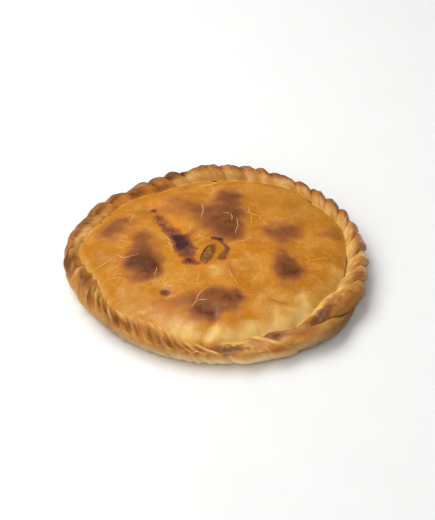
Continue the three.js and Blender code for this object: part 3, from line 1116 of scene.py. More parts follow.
@dataclass(frozen=True)
class LidBaking:
    """How the lid baked, as soft strokes whose edges wander; two of the pale strokes are painted highlights.
    """

    wander: float = 5.0
    wander_size: float = 12.0
    juice_wander: float = 0.35
    blisters: tuple[Streak, ...] = rows(
        Streak,
        (8, 80, 7, 27, 15, 15, 24, 0.69), (17, 52, 14, 18, 7, 8, 22, 0.49), (6, 95, 10, 84, 7, 9, 24, 0.42),
        (-15, 54, -10, 36, 12, 11, 27, 0.67), (0, 18, 10, 13, 6, 6, 19, 0.42),
        (-44, 80, -32, 70, 6, 8, 30, 0.49), (-77, 17, -75, -10, 8, 13, 22, 0.65),
        (-79, -27, -70, -31, 14, 15, 20, 0.79), (-76, -30, -69, -41, 8, 9, 18, 0.7),
        (-83, -52, -72, -50, 7, 6, 20, 0.6), (-91, -26, -84, -26, 5, 6, 22, 0.42),
        (-110, 34, -96, 41, 9, 9, 30, 0.67), (-114, 29, -102, 27, 4, 4, 22, 0.42),
        (-113, 21, -104, 15, 6, 6, 22, 0.42), (-71, 65, -24, 58, 8, 8, 28, 0.36),
        (-10, -79, 6, -80, 12, 12, 23, 0.6), (-29, -86, -24, -94, 8, 6, 19, 0.48),
        (-17, -103, -8, -104, 7, 7, 19, 0.85), (-20, -94, 2, -96, 7, 6, 20, 0.42),
        (14, -86, 13, -97, 8, 7, 20, 0.52), (-60, -86, -41, -87, 4, 4, 22, 0.42),
        (64, -30, 69, -42, 10, 10, 23, 0.75), (61, -12, 64, -22, 4, 7, 22, 0.52),
        (66, -46, 62, -60, 7, 4, 22, 0.57), (73, -41, 82, -42, 5, 3, 22, 0.42),
        (54, -36, 61, -39, 4, 5, 22, 0.42), (53, 22, 66, 19, 11, 10, 30, 0.65),
        (67, 24, 81, 29, 6, 5, 24, 0.49), (55, 11, 62, 9, 5, 5, 22, 0.42), (61, 2, 61, -11, 3, 3, 19, 0.37),
        (104, 24, 118, 25, 5, 6, 22, 0.51), (49, -86, 63, -87, 3, 3, 16, 0.37),
        (-30, 19, -28, 22, 3, 3, 11, 0.47), (9, -28, 14, -48, 2, 2, 12, 0.42),
        (-26, -88, 14, -88, 11, 11, 20, 0.25), (-13, 4, -8, 3, 2, 2, 7, 0.5),
    )
    juices: tuple[Streak, ...] = rows(
        Streak,
        (-68, 67, -67, 64, 1.4, 1.4, 5, 0.8), (-67, 64, -60, 46, 4, 6, 12, 0.3),
        (-60, 46, -49, 26, 7, 8, 14, 0.35), (-63, 53, -61, 49, 1.6, 1.6, 5, 0.4),
        (-58, 38, -55, 33, 2.4, 2.4, 6, 0.42), (-50, 28, -43, 18, 5, 6, 11, 0.4),
        (-40, 13, -37, 1, 7.5, 7, 10, 0.95), (-33, 15, -30, 1, 4, 4, 10, 0.55),
        (-33, -6, -31, -24, 5, 4, 10, 0.68), (-31, -26, -22, -29, 4, 3.4, 9, 0.68),
        (-27, -3, -26, -16, 3, 3, 9, 0.45), (-40, -4, -38, -14, 4, 4, 10, 0.5),
        (-6, 10, 1, 8, 2.6, 2.2, 5, 0.85), (1, 8, 7, -6, 1.8, 2.0, 5, 0.7),
        (7, -8, 2, -21, 2.6, 4.0, 6, 0.62), (16, -83, 18, -86, 4, 3.5, 8, 0.66),
        (-23, 8, -23, 7, 1.5, 1.5, 5, 0.5), (-24, -5, -23, -6, 1.6, 1.6, 5, 0.5),
    )
    glows: tuple[Streak, ...] = rows(
        Streak,
        (-72, 85, -52, 41, 6, 10, 24, 0.8), (-52, 41, -34, 20, 12, 8, 22, 0.7),
        (-37, -17, -18, -34, 9, 7, 20, 0.7), (-19, -104, 34, -100, 7, 6, 18, 0.6),
        (9, -28, 14, -48, 5, 5, 16, 0.6), (10, 0, 40, -20, 8, 10, 30, 0.3),
        (49, -86, 63, -87, 6, 6, 20, 0.4),
    )
    ochres: tuple[Streak, ...] = rows(
        Streak,
        (-121, 0, -116, -26, 9, 9, 20, 0.9), (-74, 59, -70, 56, 5, 4, 10, 0.7),
        (42, 71, 48, 70, 5, 4, 12, 0.6), (112, -11, 116, -14, 6, 5, 14, 0.35),
        (84, -8, 90, -6, 5, 4, 12, 0.5), (94, -66, 98, -62, 4, 4, 12, 0.6),
        (-87, -46, -80, -52, 5, 4, 12, 0.6), (-98, -66, -84, -80, 8, 8, 24, 0.4),
        (20, -110, 27, -108, 4, 3, 9, 0.7), (66, 74, 74, 68, 6, 6, 16, 0.5),
        (36, 84, 84, 52, 14, 12, 44, 0.5), (28, 60, 30, 40, 6, 6, 16, 0.5),
        (-104, 10, -96, 8, 5, 5, 14, 0.4),
    )
    pale_patches: tuple[Streak, ...] = rows(
        Streak,
        # The first stroke is partly pale dough and partly a painted highlight on the front-left shoulder.
        (-104, -60, -80, -90, 3, 4, 16, 0.15), (-78, -95, -57, -107, 5, 7, 22, 0.25),
        (-55, -110, -32, -118, 6, 8, 24, 0.42), (-40, -117, -12, -127, 7, 8, 24, 0.26),
        (-1, -129, 25, -125, 7, 8, 26, 0.5), (20, -121, 42, -119, 8, 8, 26, 0.45),
        (60, -108, 80, -96, 8, 8, 26, 0.4), (41, -78, 81, -72, 14, 12, 40, 0.3),
        (41, -96, 67, -91, 12, 12, 36, 0.3), (-64, -118, -34, -127, 5, 6, 14, 0.6),
        (-26, -133, 14, -130, 5, 6, 16, 0.42), (14, -130, 61, -113, 6, 6, 18, 0.5),
        (61, -113, 73, -98, 5, 5, 14, 0.45), (84, -82, 111, -40, 8, 8, 26, 0.3),
        (27, 22, 34, 12, 7, 7, 20, 0.28), (24, -8, 34, -16, 7, 7, 20, 0.24),
        (26, -50, 34, -58, 8, 8, 22, 0.22), (-6, -37, -3, -46, 6, 7, 22, 0.55),
        (-21, 14, -16, 8, 4, 4, 14, 0.42), (110, -26, 114, -34, 6, 6, 18, 0.35),
        (14, -30, 28, -24, 7, 7, 20, 0.4), (46, -126, 54, -112, 3, 2, 9, 0.8),
        (54, -112, 54, -94, 3, 1.5, 10, 0.5), (74, -111, 84, -95, 3.5, 2.5, 8, 0.95),
        (81, -100, 81, -74, 3, 1.5, 10, 0.7), (-10, -134, -2, -126, 3, 2, 9, 0.8),
        # The stroke from (57, 43) to (70, 41) is a painted highlight on the right-back bubble.
        (-3, -124, -1, -112, 2, 1, 9, 0.45), (57, 43, 70, 41, 2.5, 2, 6, 0.4),
        (-138, -4, -122, -38, 4, 5, 9, 0.4), (-122, -40, -106, -76, 4, 4, 10, 0.35),
        (-106, -76, -84, -96, 3, 3, 10, 0.35), (-19, 105, -6, 118, 1.5, 4, 9, 0.7),
        (120, -30, 107, -61, 3, 4, 14, 0.4),
    )
    glosses: tuple[Streak, ...] = rows(
        Streak,
        (53, 37, 72, 32, 3, 3, 9, 1.0), (-106, -54, -84, -86, 4, 5, 14, 0.3), (-5, 20, 0, 10, 3, 3, 9, 0.9),
        (-3, -95, -3, -107, 1.5, 2, 6, 0.9), (-66, -96, -30, -117, 5, 6, 16, 0.6),
        (2, 44, 10, 30, 4, 5, 14, 0.5),
    )

    def looks(self, places: Array) -> Looks:
        """The browning of the lid.

        Args:
            places: the places, one row each, in mm.

        Returns:
            Each look by name.
        """
        flat = places * np.array([1, 1, 0])
        drift_x = self.wander * lumps(flat, self.wander_size, Pattern.STAIN_X)
        drift_y = self.wander * lumps(flat, self.wander_size, Pattern.STAIN_Y)
        strokes = {
            "toast": self.blisters,
            "glow": self.glows,
            "ochre": self.ochres,
            "pale": self.pale_patches,
            "gloss": self.glosses,
        }
        x, y = places[:, 0], places[:, 1]
        looks = {name: covering(streaks, x + drift_x, y + drift_y) for name, streaks in strokes.items()}
        near_x, near_y = x + self.juice_wander * drift_x, y + self.juice_wander * drift_y
        return {**looks, "juice": covering(self.juices, near_x, near_y)}


@dataclass(frozen=True)
class Crater:
    """A small dark pit in the lid, by its place and its radius, with its ragged edge."""

    x: float = -52.0
    y: float = -72.5
    radius: float = 5.6
    ragged: float = 0.25
    ragged_size: float = 5.0
    dent: float = 0.5
    dent_width: float = 0.8
    toast: float = 0.76
    toast_ends: Rise = Rise(0.55, 1.15)

    def off(self, flat: Array) -> Array:
        """How far places on the lid are from the crater's middle, in its radii."""
        reach = np.hypot(flat[:, 0] - self.x, flat[:, 1] - self.y) / self.radius
        return reach + self.ragged * lumps(flat, self.ragged_size, Pattern.CRATER)


@dataclass(frozen=True)
class RimPlaces:
    """What the rim's browning goes by at each vertex.

    columns are the facts of its fold, angle its direction and share its place up the section. stands is how
    far the rope stands there, and dark is the strength of the shade painted in the gap to the lid.
    """

    columns: RopeColumns
    angle: Array
    share: Array
    wrinkle: Array
    blotch: Array
    stands: Array
    dark: Array

    def away(self) -> Array:
        """How far each place is from the nearest crease."""
        return np.minimum(self.columns.after, self.columns.before)

    def climbed(self) -> Array:
        """How far each place is up its fold's steep face, which is 1 at the fold's crest."""
        return self.columns.after / self.columns.edge


@dataclass(frozen=True)
class Blotched:
    """A strength that is more in the rim's blotches and on its wrinkles."""

    plain: float
    blotch: float
    wrinkle: float = 0.0

    def of(self, at: RimPlaces) -> Array:
        """The strength at each place."""
        return self.plain + self.blotch * at.blotch + self.wrinkle * at.wrinkle


@dataclass(frozen=True)
class RimBaking:
    """How the rope and the wall baked, with painted shade and highlights. Most rises go by the share of the
    way up the section.
    """

    face_width: float = 0.5
    back_starts: Rise = Rise(0.8, 1.4)
    brown_spread: float = 0.23
    lobe_toast: float = 0.15
    face_toast: float = 0.85
    toast_blotches: Blotched = Blotched(0.0, 0.4, 0.4)
    crest_starts: Rise = Rise(0.4, 0.58)
    crest_ends: Rise = Rise(0.71, 0.88)
    crest_toast: Blotched = Blotched(0.7, 0.5, 0.3)
    inner_side: Rise = Rise(0.74, 0.95)
    inner_pale: float = 0.45
    inner_back_pale: float = 0.55
    upper_side: Rise = Rise(0.35, 0.6)
    # The strips on the folds' gentle backs are partly paler dough and partly painted highlight.
    strip_least: float = 0.3
    strip_bread: float = 0.8
    strip_cover: Blotched = Blotched(0.6, 0.3)
    # The line along each crease is painted shade where the folds meet.
    line_width: float = 0.9
    line_starts: Rise = Rise(0.4, 0.6)
    line_ends: Rise = Rise(0.74, 0.9)
    line_tint: Rise = Rise(0.5, 1.2)
    crease_line_shade: Blotched = Blotched(0.45, 0.4)
    wall_ends: float = 0.18
    wall_top: float = 0.54
    # Where the wall is darker its colour climbs higher, which paints the shade under the flap.
    wall_shade_climb: float = 0.4
    glow_starts: Rise = Rise(0.62, 0.82)
    glow_cover: Blotched = Blotched(0.9, 0.4)
    # Olive beside the valley is partly painted shade.
    olive_cover: Blotched = Blotched(0.6, 0.4)
    rope_starts: Rise = Rise(0.25, 0.5)
    rope_ends: Rise = Rise(0.9, 1.0)
    rim_tones: tuple[RimTone, ...] = rows(
        RimTone,
        (5, 0.4, 0.55, 0.0, 0.95, 0.35, 0.4), (30, 0.4, 0.58, 0.05, 0.6, 0.8, 0.45),
        (50, 0.4, 0.6, 0.1, 0.45, 0.8, 0.45), (70, 0.4, 0.6, 0.15, 0.4, 0.8, 0.45),
        (92, 0.35, 0.6, 0.1, 0.45, 0.8, 0.45), (108, 0.5, 0.6, 0.3, 0.5, 0.9, 0.45),
        (122, 0.4, 0.66, 1.0, 0.4, 1.0, 0.35), (140, 0.35, 0.64, 1.0, 0.4, 1.0, 0.35),
        (155, 0.4, 0.62, 0.6, 0.6, 0.9, 0.4), (168, 0.25, 0.56, 0.1, 0.95, 0.7, 0.45),
        (182, 0.8, 0.72, 0.1, 0.6, 0.6, 0.55), (200, 0.7, 0.74, 0.05, 0.65, 0.3, 0.6),
        (225, 0.6, 0.72, 0.0, 0.6, 0.3, 0.32), (250, 0.55, 0.74, 0.0, 0.65, 0.25, 0.68),
        (270, 0.75, 0.76, 0.0, 0.95, 0.0, 1.0), (285, 0.6, 0.82, 0.0, 0.95, 0.0, 0.9),
        # The last column falls to nought from 315 to 328 degrees, painting the shade on the right-front wall
        # under the flap.
        (300, 0.6, 0.84, 0.0, 1.0, 0.0, 0.45), (315, 0.5, 0.8, 0.0, 1.0, 0.0, 0.0),
        (328, 0.5, 0.74, 0.0, 1.0, 0.1, 0.0), (342, 0.45, 0.6, 0.0, 0.95, 0.2, 0.18),
        (355, 0.4, 0.56, 0.0, 0.95, 0.25, 0.32),
    )
    rim_stains: tuple[RimStain, ...] = rows(
        RimStain,
        # The stain at 313 degrees is painted shadow under the flap's edge, on top of its browned face.
        (186, 6, 0.54, 0.12, 0.85, 0.0), (313, 7, 0.78, 0.1, 1.1, -0.3), (297, 5, 0.75, 0.1, -0.6, 0.3),
        (130, 4, 0.87, 0.08, 0.9, -0.5), (118, 4, 0.92, 0.07, 0.6, -0.4), (108, 4, 0.8, 0.08, 0.55, -0.3),
        (136, 4, 0.93, 0.07, -0.3, 0.1), (146, 6, 0.92, 0.08, -0.3, 0.1), (106, 6, 0.92, 0.09, -0.4, 0.4),
        (172, 8, 0.86, 0.1, -0.2, 0.3), (264, 4, 0.62, 0.12, -0.2, 0.25), (275.5, 5, 0.64, 0.1, 0.6, -0.3),
        (291, 5, 0.5, 0.1, 0.35, -0.2), (209.5, 6, 0.78, 0.1, -0.9, 0.4),
        (355, 10, 0.62, 0.12, -0.45, 0.25), (68, 10, 0.93, 0.08, 0.0, 0.35),
        (317, 5, 0.94, 0.07, -0.3, 0.4), (321, 4, 0.7, 0.08, -0.3, 0.0),
    )

    def tone_at(self, angle: Array) -> RimTone:
        """The rim's tone in each direction, in degrees, between the tones that are given."""
        given, *tables = np.array([astuple(tone) for tone in self.rim_tones]).T
        return RimTone(angle, *(np.interp(angle, given, table, period=TURN) for table in tables))

    def face(self, at: RimPlaces) -> Array:
        """How much each place is on the middle of its fold's steep face."""
        return bell(at.climbed() - HALF, self.face_width)

    def baked(self, at: RimPlaces, tone: RimTone) -> Array:
        """How brown the steep faces of the folds are at each place."""
        return tone.brown * at.columns.tint * bell(at.share - tone.place, self.brown_spread)

    def toast(self, at: RimPlaces, tone: RimTone) -> Array:
        """The brown of the steep faces and of the rope's outer edge.

        Args:
            at: the places.
            tone: the rim's tone at each.

        Returns:
            The brown at each, without the stains.
        """
        uneven = self.lobe_toast * at.columns.lobe + self.face_toast * self.face(at)
        uneven = uneven + self.toast_blotches.of(at)
        edge = self.crest_starts.of(at.share) * (1 - self.crest_ends.of(at.share))
        return self.baked(at, tone) * uneven + tone.crest * edge * self.crest_toast.of(at)

    def pale(self, at: RimPlaces, tone: RimTone) -> Array:
        """The paleness of the rope's inner side and of the folds' backs, where it is partly a painted
        highlight.

        Args:
            at: the places.
            tone: the rim's tone at each.

        Returns:
            The paleness of each, without the stains.
        """
        back = self.back_starts.of(at.climbed())
        inner = self.inner_side.of(at.share) * (self.inner_pale + self.inner_back_pale * back)
        # Strips on the folds' backs: paler dough, and partly a painted highlight.
        strip = (self.strip_least + self.strip_bread * tone.bread) * self.strip_cover.of(at)
        return tone.pale * np.maximum(inner, strip * back * self.upper_side.of(at.share))

    def looks(self, at: RimPlaces, tone: RimTone) -> Looks:
        """The browning of the rim.

        Args:
            at: the places.
            tone: the rim's tone at each.

        Returns:
            Each look by name.
        """
        toast, pale = self.toast(at, tone), self.pale(at, tone)
        for stain in self.rim_stains:
            cover = bell(degrees_off(at.angle, stain.angle), stain.width)
            cover = cover * bell(at.share - stain.place, stain.spread)
            toast = toast + stain.toast * cover
            pale = pale + stain.pale * cover
        # A painted shade line along each crease.
        line = bell(at.away(), self.line_width) * self.line_tint.of(at.columns.tint)
        line = line * self.line_starts.of(at.share) * (1 - self.line_ends.of(at.share))
        # The wall climbs higher where it is darker: painted shade under the flap.
        wall_starts = self.wall_top + self.wall_shade_climb * (1 - np.clip(tone.bread / HALF, 0, 1))
        # Olive in the valley under a standing rope, partly painted shade.
        olive = self.inner_side.of(at.share) * at.stands * (1 - tone.orange)
        glow = tone.orange * self.glow_starts.of(at.share)
        return {
            "toast": np.clip(toast, 0, 1),
            "pale": np.clip(pale, 0, 1),
            "wall": 1 - smoothstep(at.share, self.wall_ends, wall_starts),
            "bread": tone.bread,
            # gap: painted shade in the slits and along the creases.
            "gap": np.maximum(at.dark, line * self.crease_line_shade.of(at)),
            "glow": glow * self.glow_cover.of(at),
            "olive": olive * self.olive_cover.of(at),
            "rope": self.rope_starts.of(at.share) * (1 - self.rope_ends.of(at.share)),
        }


@dataclass(frozen=True)
class Band:
    """A ring of the crust's mesh: how far it runs across the zones, and its rows and columns."""

    inner: float
    outer: float
    rows: int
    columns: int


@dataclass(frozen=True)
class ZonePoints:
    """A zone's vertices, each by its shares of the way round and across, and the rope's columns."""

    columns: RopeColumns
    turn: Array
    across: Array


@dataclass
class Crust:
    """The baked dough: base, wall, rope, lid and vent's well, with its browning and painted shade. Sizes are
    in mm.
    """

    form: PieForm
    finish: CrustFinish
    lid_baking: LidBaking
    rim_baking: RimBaking
    crater: Crater
    columns_per_degree: float = 2.2
    crowding: float = 1.4
    rim_rows: int = 58
    base_rows: int = 6
    base_columns: int = 200
    outer_lid_rows: int = 20
    middle_lid_rows: int = 44
    middle_lid_columns: int = 420
    inner_lid_rows: int = 24
    inner_lid_columns: int = 216
    vent_rows: int = 20
    vent_columns: int = 108
    outer_lid_starts: float = 1.8
    middle_lid_starts: float = 1.34
    seam: float = 0.008
    wrinkle_depth: float = 0.9
    wrinkle_width: float = 4.2
    wrinkle_length: float = 24.0
    strand_width: float = 3.0
    strand_length: float = 26.0
    lump_depth: float = 1.3
    lump_size: float = 11.0
    lumps_start: Rise = Rise(0.05, 0.3)
    lumps_wane: Rise = Rise(0.9, 1.0, 0.6)
    crease_cut: float = 1.1
    crease_cut_width: float = 1.3
    crag_depth: float = 1.0
    crag_size: float = 4.0
    long_edge: float = 12.0
    blotch_size: float = 18.0
    lid_waviness: float = 1.0
    lid_wave_size: float = 26.0
    lid_dimple: float = 0.16
    lid_dimple_size: float = 6.0
    waves_off_rope: Rise = Rise(0.0, 16.0)
    waves_off_vent: Rise = Rise(0.0, 0.08)
    lid_edge_width: float = 6.0
    lid_edge_pale: float = 0.3
    # Olive at the lid's edge where the rope stands over it, partly painted shade in the valley.
    lid_edge_olive: float = 0.6
    lid_olive_width: float = 5.0
    vent_ragged: float = 0.17
    vent_ragged_size: float = 0.5
    vent_ragged_place: float = 0.7
    vent_ragged_width: float = 0.25
    vent_meets_lid: Rise = Rise(0.6, 1.0)
    lip_lump: float = 0.35
    lip_lump_size: float = 4.0
    lip_lumps_start: Rise = Rise(0.3, 0.6)
    lip_toast: float = 0.55
    lip_toast_place: float = 0.6
    lip_toast_width: float = 0.28
    # Painted shade in the vent's well.
    well_shade: float = 0.25
    well_ends: Rise = Rise(0.25, 0.45)
    base_starts: Rise = Rise(0.0, 0.1)
    valley_reach: float = 0.07
    valley_rounds: int = 6
    slit_width: float = 1.8
    # How the painted shade in the slits rises.
    slit_shade: Rise = Rise(0.35, 0.9)
    # Each slit's last column is the strength of the shade painted in it.
    slits: tuple[Slit, ...] = rows(
        Slit,
        (45, 5.0, 3.0, 1.0), (92, 6.0, 1.6, 0.9), (28, 3.0, 1.5, 0.7), (148, 3.0, 1.5, 0.8),
        (155, 3.0, 1.5, 0.8), (170, 3.0, 1.5, 0.8), (-8, 40.0, 0.7, 0.7), (302, 4.0, 1.2, 0.6),
    )

    def parameter_mesh(self, columns: int) -> bmesh.types.BMesh:
        """The crust's mesh laid out flat, the zones as rings about the vent's middle.

        Args:
            columns: how many columns the rope has.

        Returns:
            A flat disc in which the distance from the middle is the place across the zones.
        """
        lid, rim, base = Zone.LID.value, Zone.RIM.value, Zone.BASE.value
        middle, outer, seam = self.middle_lid_starts, self.outer_lid_starts, self.seam
        bands = [
            Band(0, lid - seam, self.vent_rows, self.vent_columns),
            Band(lid, middle - seam, self.inner_lid_rows, self.inner_lid_columns),
            Band(middle, outer - seam, self.middle_lid_rows, self.middle_lid_columns),
            Band(outer, rim - seam, self.outer_lid_rows, columns),
            Band(rim, base, self.rim_rows, columns),
            Band(base + seam, base + 1, self.base_rows, self.base_columns),
        ]
        flat = bmesh.new()
        for band in bands:
            ends = [flat.verts.new((radius, 0, 0)) for radius in (band.inner, band.outer)]
            spoke = flat.edges.new(ends)
            around = {"cent": (0, 0, 0), "axis": (0, 0, 1), "dvec": (0, 0, 0), "angle": FULL_CIRCLE}
            bmesh.ops.spin(flat, geom=[spoke, *ends], **around, steps=band.columns, use_merge=True)
        for band in bands:
            spokes = [edge for edge in flat.edges if self.is_spoke(edge, band)]
            bmesh.ops.subdivide_edges(flat, edges=spokes, cuts=band.rows - 1, use_grid_fill=True)
        for inside, outside in zip(bands, bands[1:]):
            between = HALF * (inside.outer + outside.inner)
            open_edges = [edge for edge in flat.edges if edge.is_boundary]
            nearby = [edge for edge in open_edges if abs(edge.verts[0].co.length - between) < seam]
            bmesh.ops.bridge_loops(flat, edges=nearby)
        bmesh.ops.remove_doubles(flat, verts=flat.verts, dist=MERGE_DISTANCE)
        return flat

    def is_spoke(self, edge: bmesh.types.BMEdge, band: Band) -> bool:
        """Whether an edge runs right across a band of the flat layout."""
        inner, outer = sorted(point.co.length for point in edge.verts)
        return max(abs(inner - band.inner), abs(outer - band.outer)) < HALF * self.seam

    def build(self) -> bpy.types.Object:
        """Builds and dresses the crust.

        Returns:
            The piece, riding on the frame in place of its solid.
        """
        columns = self.form.rope_columns(self.columns_per_degree, self.crowding)
        shape = self.parameter_mesh(len(columns.angle))
        flat = np.array([point.co for point in shape.verts])
        across = np.hypot(flat[:, 0], flat[:, 1])
        turn = np.arctan2(flat[:, 1], flat[:, 0]) / FULL_CIRCLE % 1
        zone = np.minimum(across.astype(int), Zone.BASE.value)
        places = np.zeros_like(flat)
        looks = {name: np.zeros(len(flat)) for name in LOOKS}
        looks["strand"] = np.zeros_like(flat)
        makers = {
            Zone.VENT: self.vent_surface,
            Zone.LID: self.lid_surface,
            Zone.RIM: self.rim_surface,
            Zone.BASE: self.base_surface,
        }
        for kind, maker in makers.items():
            chosen = np.flatnonzero(zone == kind.value)
            made, browning = maker(ZonePoints(columns, turn[chosen], across[chosen] - kind.value))
            places[chosen] = made
            for name, values in browning.items():
                looks[name][chosen] = values
        for point, place in zip(shape.verts, self.form.in_frame(places)):
            point.co = place
        self.dress(shape, looks)
        self.soften_valley(shape, across)
        bmesh.ops.remove_doubles(shape, verts=shape.verts, dist=MERGE_DISTANCE)
        piece = object_from("baked_crust", shape, self.finish.material())
        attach(piece, ROOT_BODY)
        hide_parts("crust")
        return piece

    def dress(self, shape: bmesh.types.BMesh, looks: Looks) -> None:
        """Gives the crust's vertices their looks.

        Args:
            shape: the crust's mesh.
            looks: each look by name, one number or place for each vertex.
        """
        layers = shape.verts.layers
        for name, values in looks.items():
            layer = (layers.float if values.ndim == 1 else layers.float_vector).new(name)
            for point, value in zip(shape.verts, values):
                point[layer] = value

    def soften_valley(self, shape: bmesh.types.BMesh, across: Array) -> None:
        """Rounds the sharp bottom of the valley between rope and lid.

        Args:
            shape: the crust's mesh, in its final places.
            across: each vertex's place across the zones.
        """
        near = np.abs(across - Zone.RIM.value) < self.valley_reach
        chosen = [point for point, inside in zip(shape.verts, near) if inside]
        axes = {"use_axis_x": True, "use_axis_y": True, "use_axis_z": True}
        for _ in range(self.valley_rounds):
            bmesh.ops.smooth_vert(shape, verts=chosen, factor=HALF, **axes)

    def vent_surface(self, points: ZonePoints) -> tuple[Array, Looks]:
        """The vent's well and lip.

        Args:
            points: the vertices, across from the well's middle to the lip's foot.

        Returns:
            Their places in mm, and each look by name.
        """
        form, across = self.form, points.across
        height = form.vent_height()
        knots = [
            (0.0, -form.well_depth),
            (form.well_share, -form.well_depth),
            (form.hole_share, form.hole_edge_rise),
            (form.lip_crest_share, form.lip_rise),
            (1.0, 0.0),
        ]
        share, rise, _, _ = form.spline(knots, across)
        direction = np.radians(points.columns.angle[0]) + FULL_CIRCLE * points.turn
        circle = stacked(np.cos(direction), np.sin(direction), 0.0)
        ragged = self.vent_ragged * lumps(circle, self.vent_ragged_size, Pattern.VENT_EDGE)
        ragged = 1 + ragged * bell(across - self.vent_ragged_place, self.vent_ragged_width)
        x, y = form.vent_place(direction, share * ragged)
        foot = form.lid_height(x, y)
        z = height + rise + (foot - height) * self.vent_meets_lid.of(across)
        lump = self.lip_lump * lumps(stacked(x, y, z), self.lip_lump_size, Pattern.LIP)
        places = stacked(x, y, z + lump * self.lip_lumps_start.of(across))
        looks = self.lid_baking.looks(places)
        lip = self.lip_toast * bell(across - self.lip_toast_place, self.lip_toast_width)
        looks["toast"] = np.maximum(looks["toast"], lip)
        # Painted shade in the vent's well.
        looks["gap"] = self.well_shade * (1 - self.well_ends.of(across))
        return places, looks

    def valley(self, columns: RopeColumns) -> Array:
        """The valley between rope and lid.

        Args:
            columns: the rope's columns.

        Returns:
            A place for each column, with the first again at the end.
        """
        share = np.ones_like(columns.angle)
        radius, height, run, climb = self.form.rim_section(columns.angle, share)
        push = columns.relief * self.form.relief_fade(share, columns.tip)
        ring = round_places(columns.angle, radius + push * climb, height - push * run)
        return np.vstack([ring, ring[:1]])

    def lid_surface(self, points: ZonePoints) -> tuple[Array, Looks]:
        """The lid.

        Args:
            points: the vertices, across from the vent's lip to the valley.

        Returns:
            Their places in mm, and each look by name.
        """
        form, columns, turn, across = self.form, points.columns, points.turn, points.across
        ring = self.valley(columns)
        angles = closed(columns.angle, TURN)
        steps = np.arange(len(angles))
        even = np.interp(columns.angle[0] + TURN * turn, angles, steps)
        crowd = smoothstep(across, self.outer_lid_starts - Zone.LID.value, 1.0)
        column = crowd * turn * steps[-1] + (1 - crowd) * even
        edge_x, edge_y, edge_z = (np.interp(column, steps, line) for line in ring.T)
        direction = np.arctan2(edge_y - form.vent_y, edge_x - form.vent_x)
        lip_x, lip_y = form.vent_place(direction, np.ones_like(across))
        x = lip_x + across * (edge_x - lip_x)
        y = lip_y + across * (edge_y - lip_y)
        from_edge = np.hypot(x - edge_x, y - edge_y)
        mismatch = edge_z - form.lid_height(edge_x, edge_y)
        z = form.lid_height(x, y) + mismatch * np.exp(-from_edge / form.edge_blend)
        flat = stacked(x, y, 0.0)
        inside = self.waves_off_rope.of(from_edge) * self.waves_off_vent.of(across)
        z = z + self.lid_waviness * inside * lumps(flat, self.lid_wave_size, Pattern.LID_WAVES)
        z = z + self.lid_dimple * inside * lumps(flat, self.lid_dimple_size, Pattern.LID_DIMPLES)
        pit = self.crater.off(flat)
        z = z - self.crater.dent * bell(pit, self.crater.dent_width)
        angle = np.degrees(np.arctan2(y, x))
        # The slits' depth, and the shade painted in them.
        depth, dark = self.slit_at(angle, from_edge)
        places = stacked(x, y, z - depth)
        looks = self.lid_baking.looks(places)
        edge = bell(from_edge, self.lid_edge_width)
        # Olive at the edge where the rope stands, partly painted shade in the valley.
        olive = self.lid_edge_olive * bell(from_edge, self.lid_olive_width)
        burnt = self.crater.toast * (1 - self.crater.toast_ends.of(pit))
        looks["pale"] = np.maximum(looks["pale"], self.lid_edge_pale * edge)
        looks["olive"] = olive * form.rope_stands(angle)
        looks["toast"] = np.maximum(looks["toast"] * (1 - edge), burnt)
        # Painted shade in the slits.
        looks["gap"] = dark
        return places, looks

    def slit_at(self, angle: Array, away: Array) -> tuple[Array, Array]:
        """The depth of the gaps between rope and lid, and the shade painted in them.

        Args:
            angle: each place's direction in degrees.
            away: its distance from the valley in mm.

        Returns:
            The depth in mm and the strength of the painted shade, from 0 to 1.
        """
        depth, dark = np.zeros_like(angle), np.zeros_like(angle)
        beside = bell(away, self.slit_width)
        for slit in self.slits:
            off = np.radians(degrees_off(angle, slit.angle)) * self.form.lid_radius
            along = bell(off, slit.half_length)
            depth = depth + slit.depth * along * beside
            dark = np.maximum(dark, slit.dark * self.slit_shade.of(along * beside))
        return depth, dark

    def rim_surface(self, points: ZonePoints) -> tuple[Array, Looks]:
        """The rope and the wall.

        Args:
            points: the vertices, across from the valley to the base's edge.

        Returns:
            Their places in mm, and each look by name.
        """
        form, baking = self.form, self.rim_baking
        count = len(points.columns.angle)
        columns = points.columns.chosen(np.rint(points.turn * count).astype(int) % count)
        share = np.clip(1 - points.across, 0, 1)
        angle = form.slanted(columns.angle, columns.slant, share)
        radius, height, run, climb = form.rim_section(angle, share)
        spot = round_places(angle, radius, height)
        reach = form.rope_section_length * (1 - share)
        along = round_places(columns.angle, form.mean_radius, reach)
        is_long = columns.edge > self.long_edge
        stretch = (self.wrinkle_width, self.wrinkle_width, self.wrinkle_length)
        wrinkle = lumps(along / stretch, 1.0, Pattern.WRINKLES)
        wrinkle = np.where(is_long, lumps(spot, self.crag_size, Pattern.LONG_WRINKLES), wrinkle)
        # The slits' depth, and the shade painted in them.
        depth, dark = self.slit_at(angle, reach)
        blotch = lumps(spot, self.blotch_size, Pattern.BLOTCHES)
        at = RimPlaces(columns, angle, share, wrinkle, blotch, form.rope_stands(angle), dark)
        tone = baking.tone_at(angle)

        fade = form.relief_fade(share, columns.tip)
        soft = self.lumps_start.of(share) * (1 - self.lumps_wane.of(share))
        crag = baking.baked(at, tone) * baking.face(at)
        crag = crag * lumps(spot, self.crag_size, Pattern.CRAGS) * is_long
        push = columns.relief * fade
        push = push + fade * self.wrinkle_depth * wrinkle
        push = push + soft * self.lump_depth * lumps(spot, self.lump_size, Pattern.ROPE)
        push = push + self.crag_depth * crag
        push = push - self.crease_cut * fade * bell(at.away(), self.crease_cut_width)
        height = np.maximum(height - push * run - depth, 0)
        places = round_places(angle, radius + push * climb, height)

        looks = baking.looks(at, tone)
        strand = along / (self.strand_width, self.strand_width, self.strand_length)
        looks["strand"] = np.where(is_long[:, None], spot / self.strand_width, strand)
        return places, looks

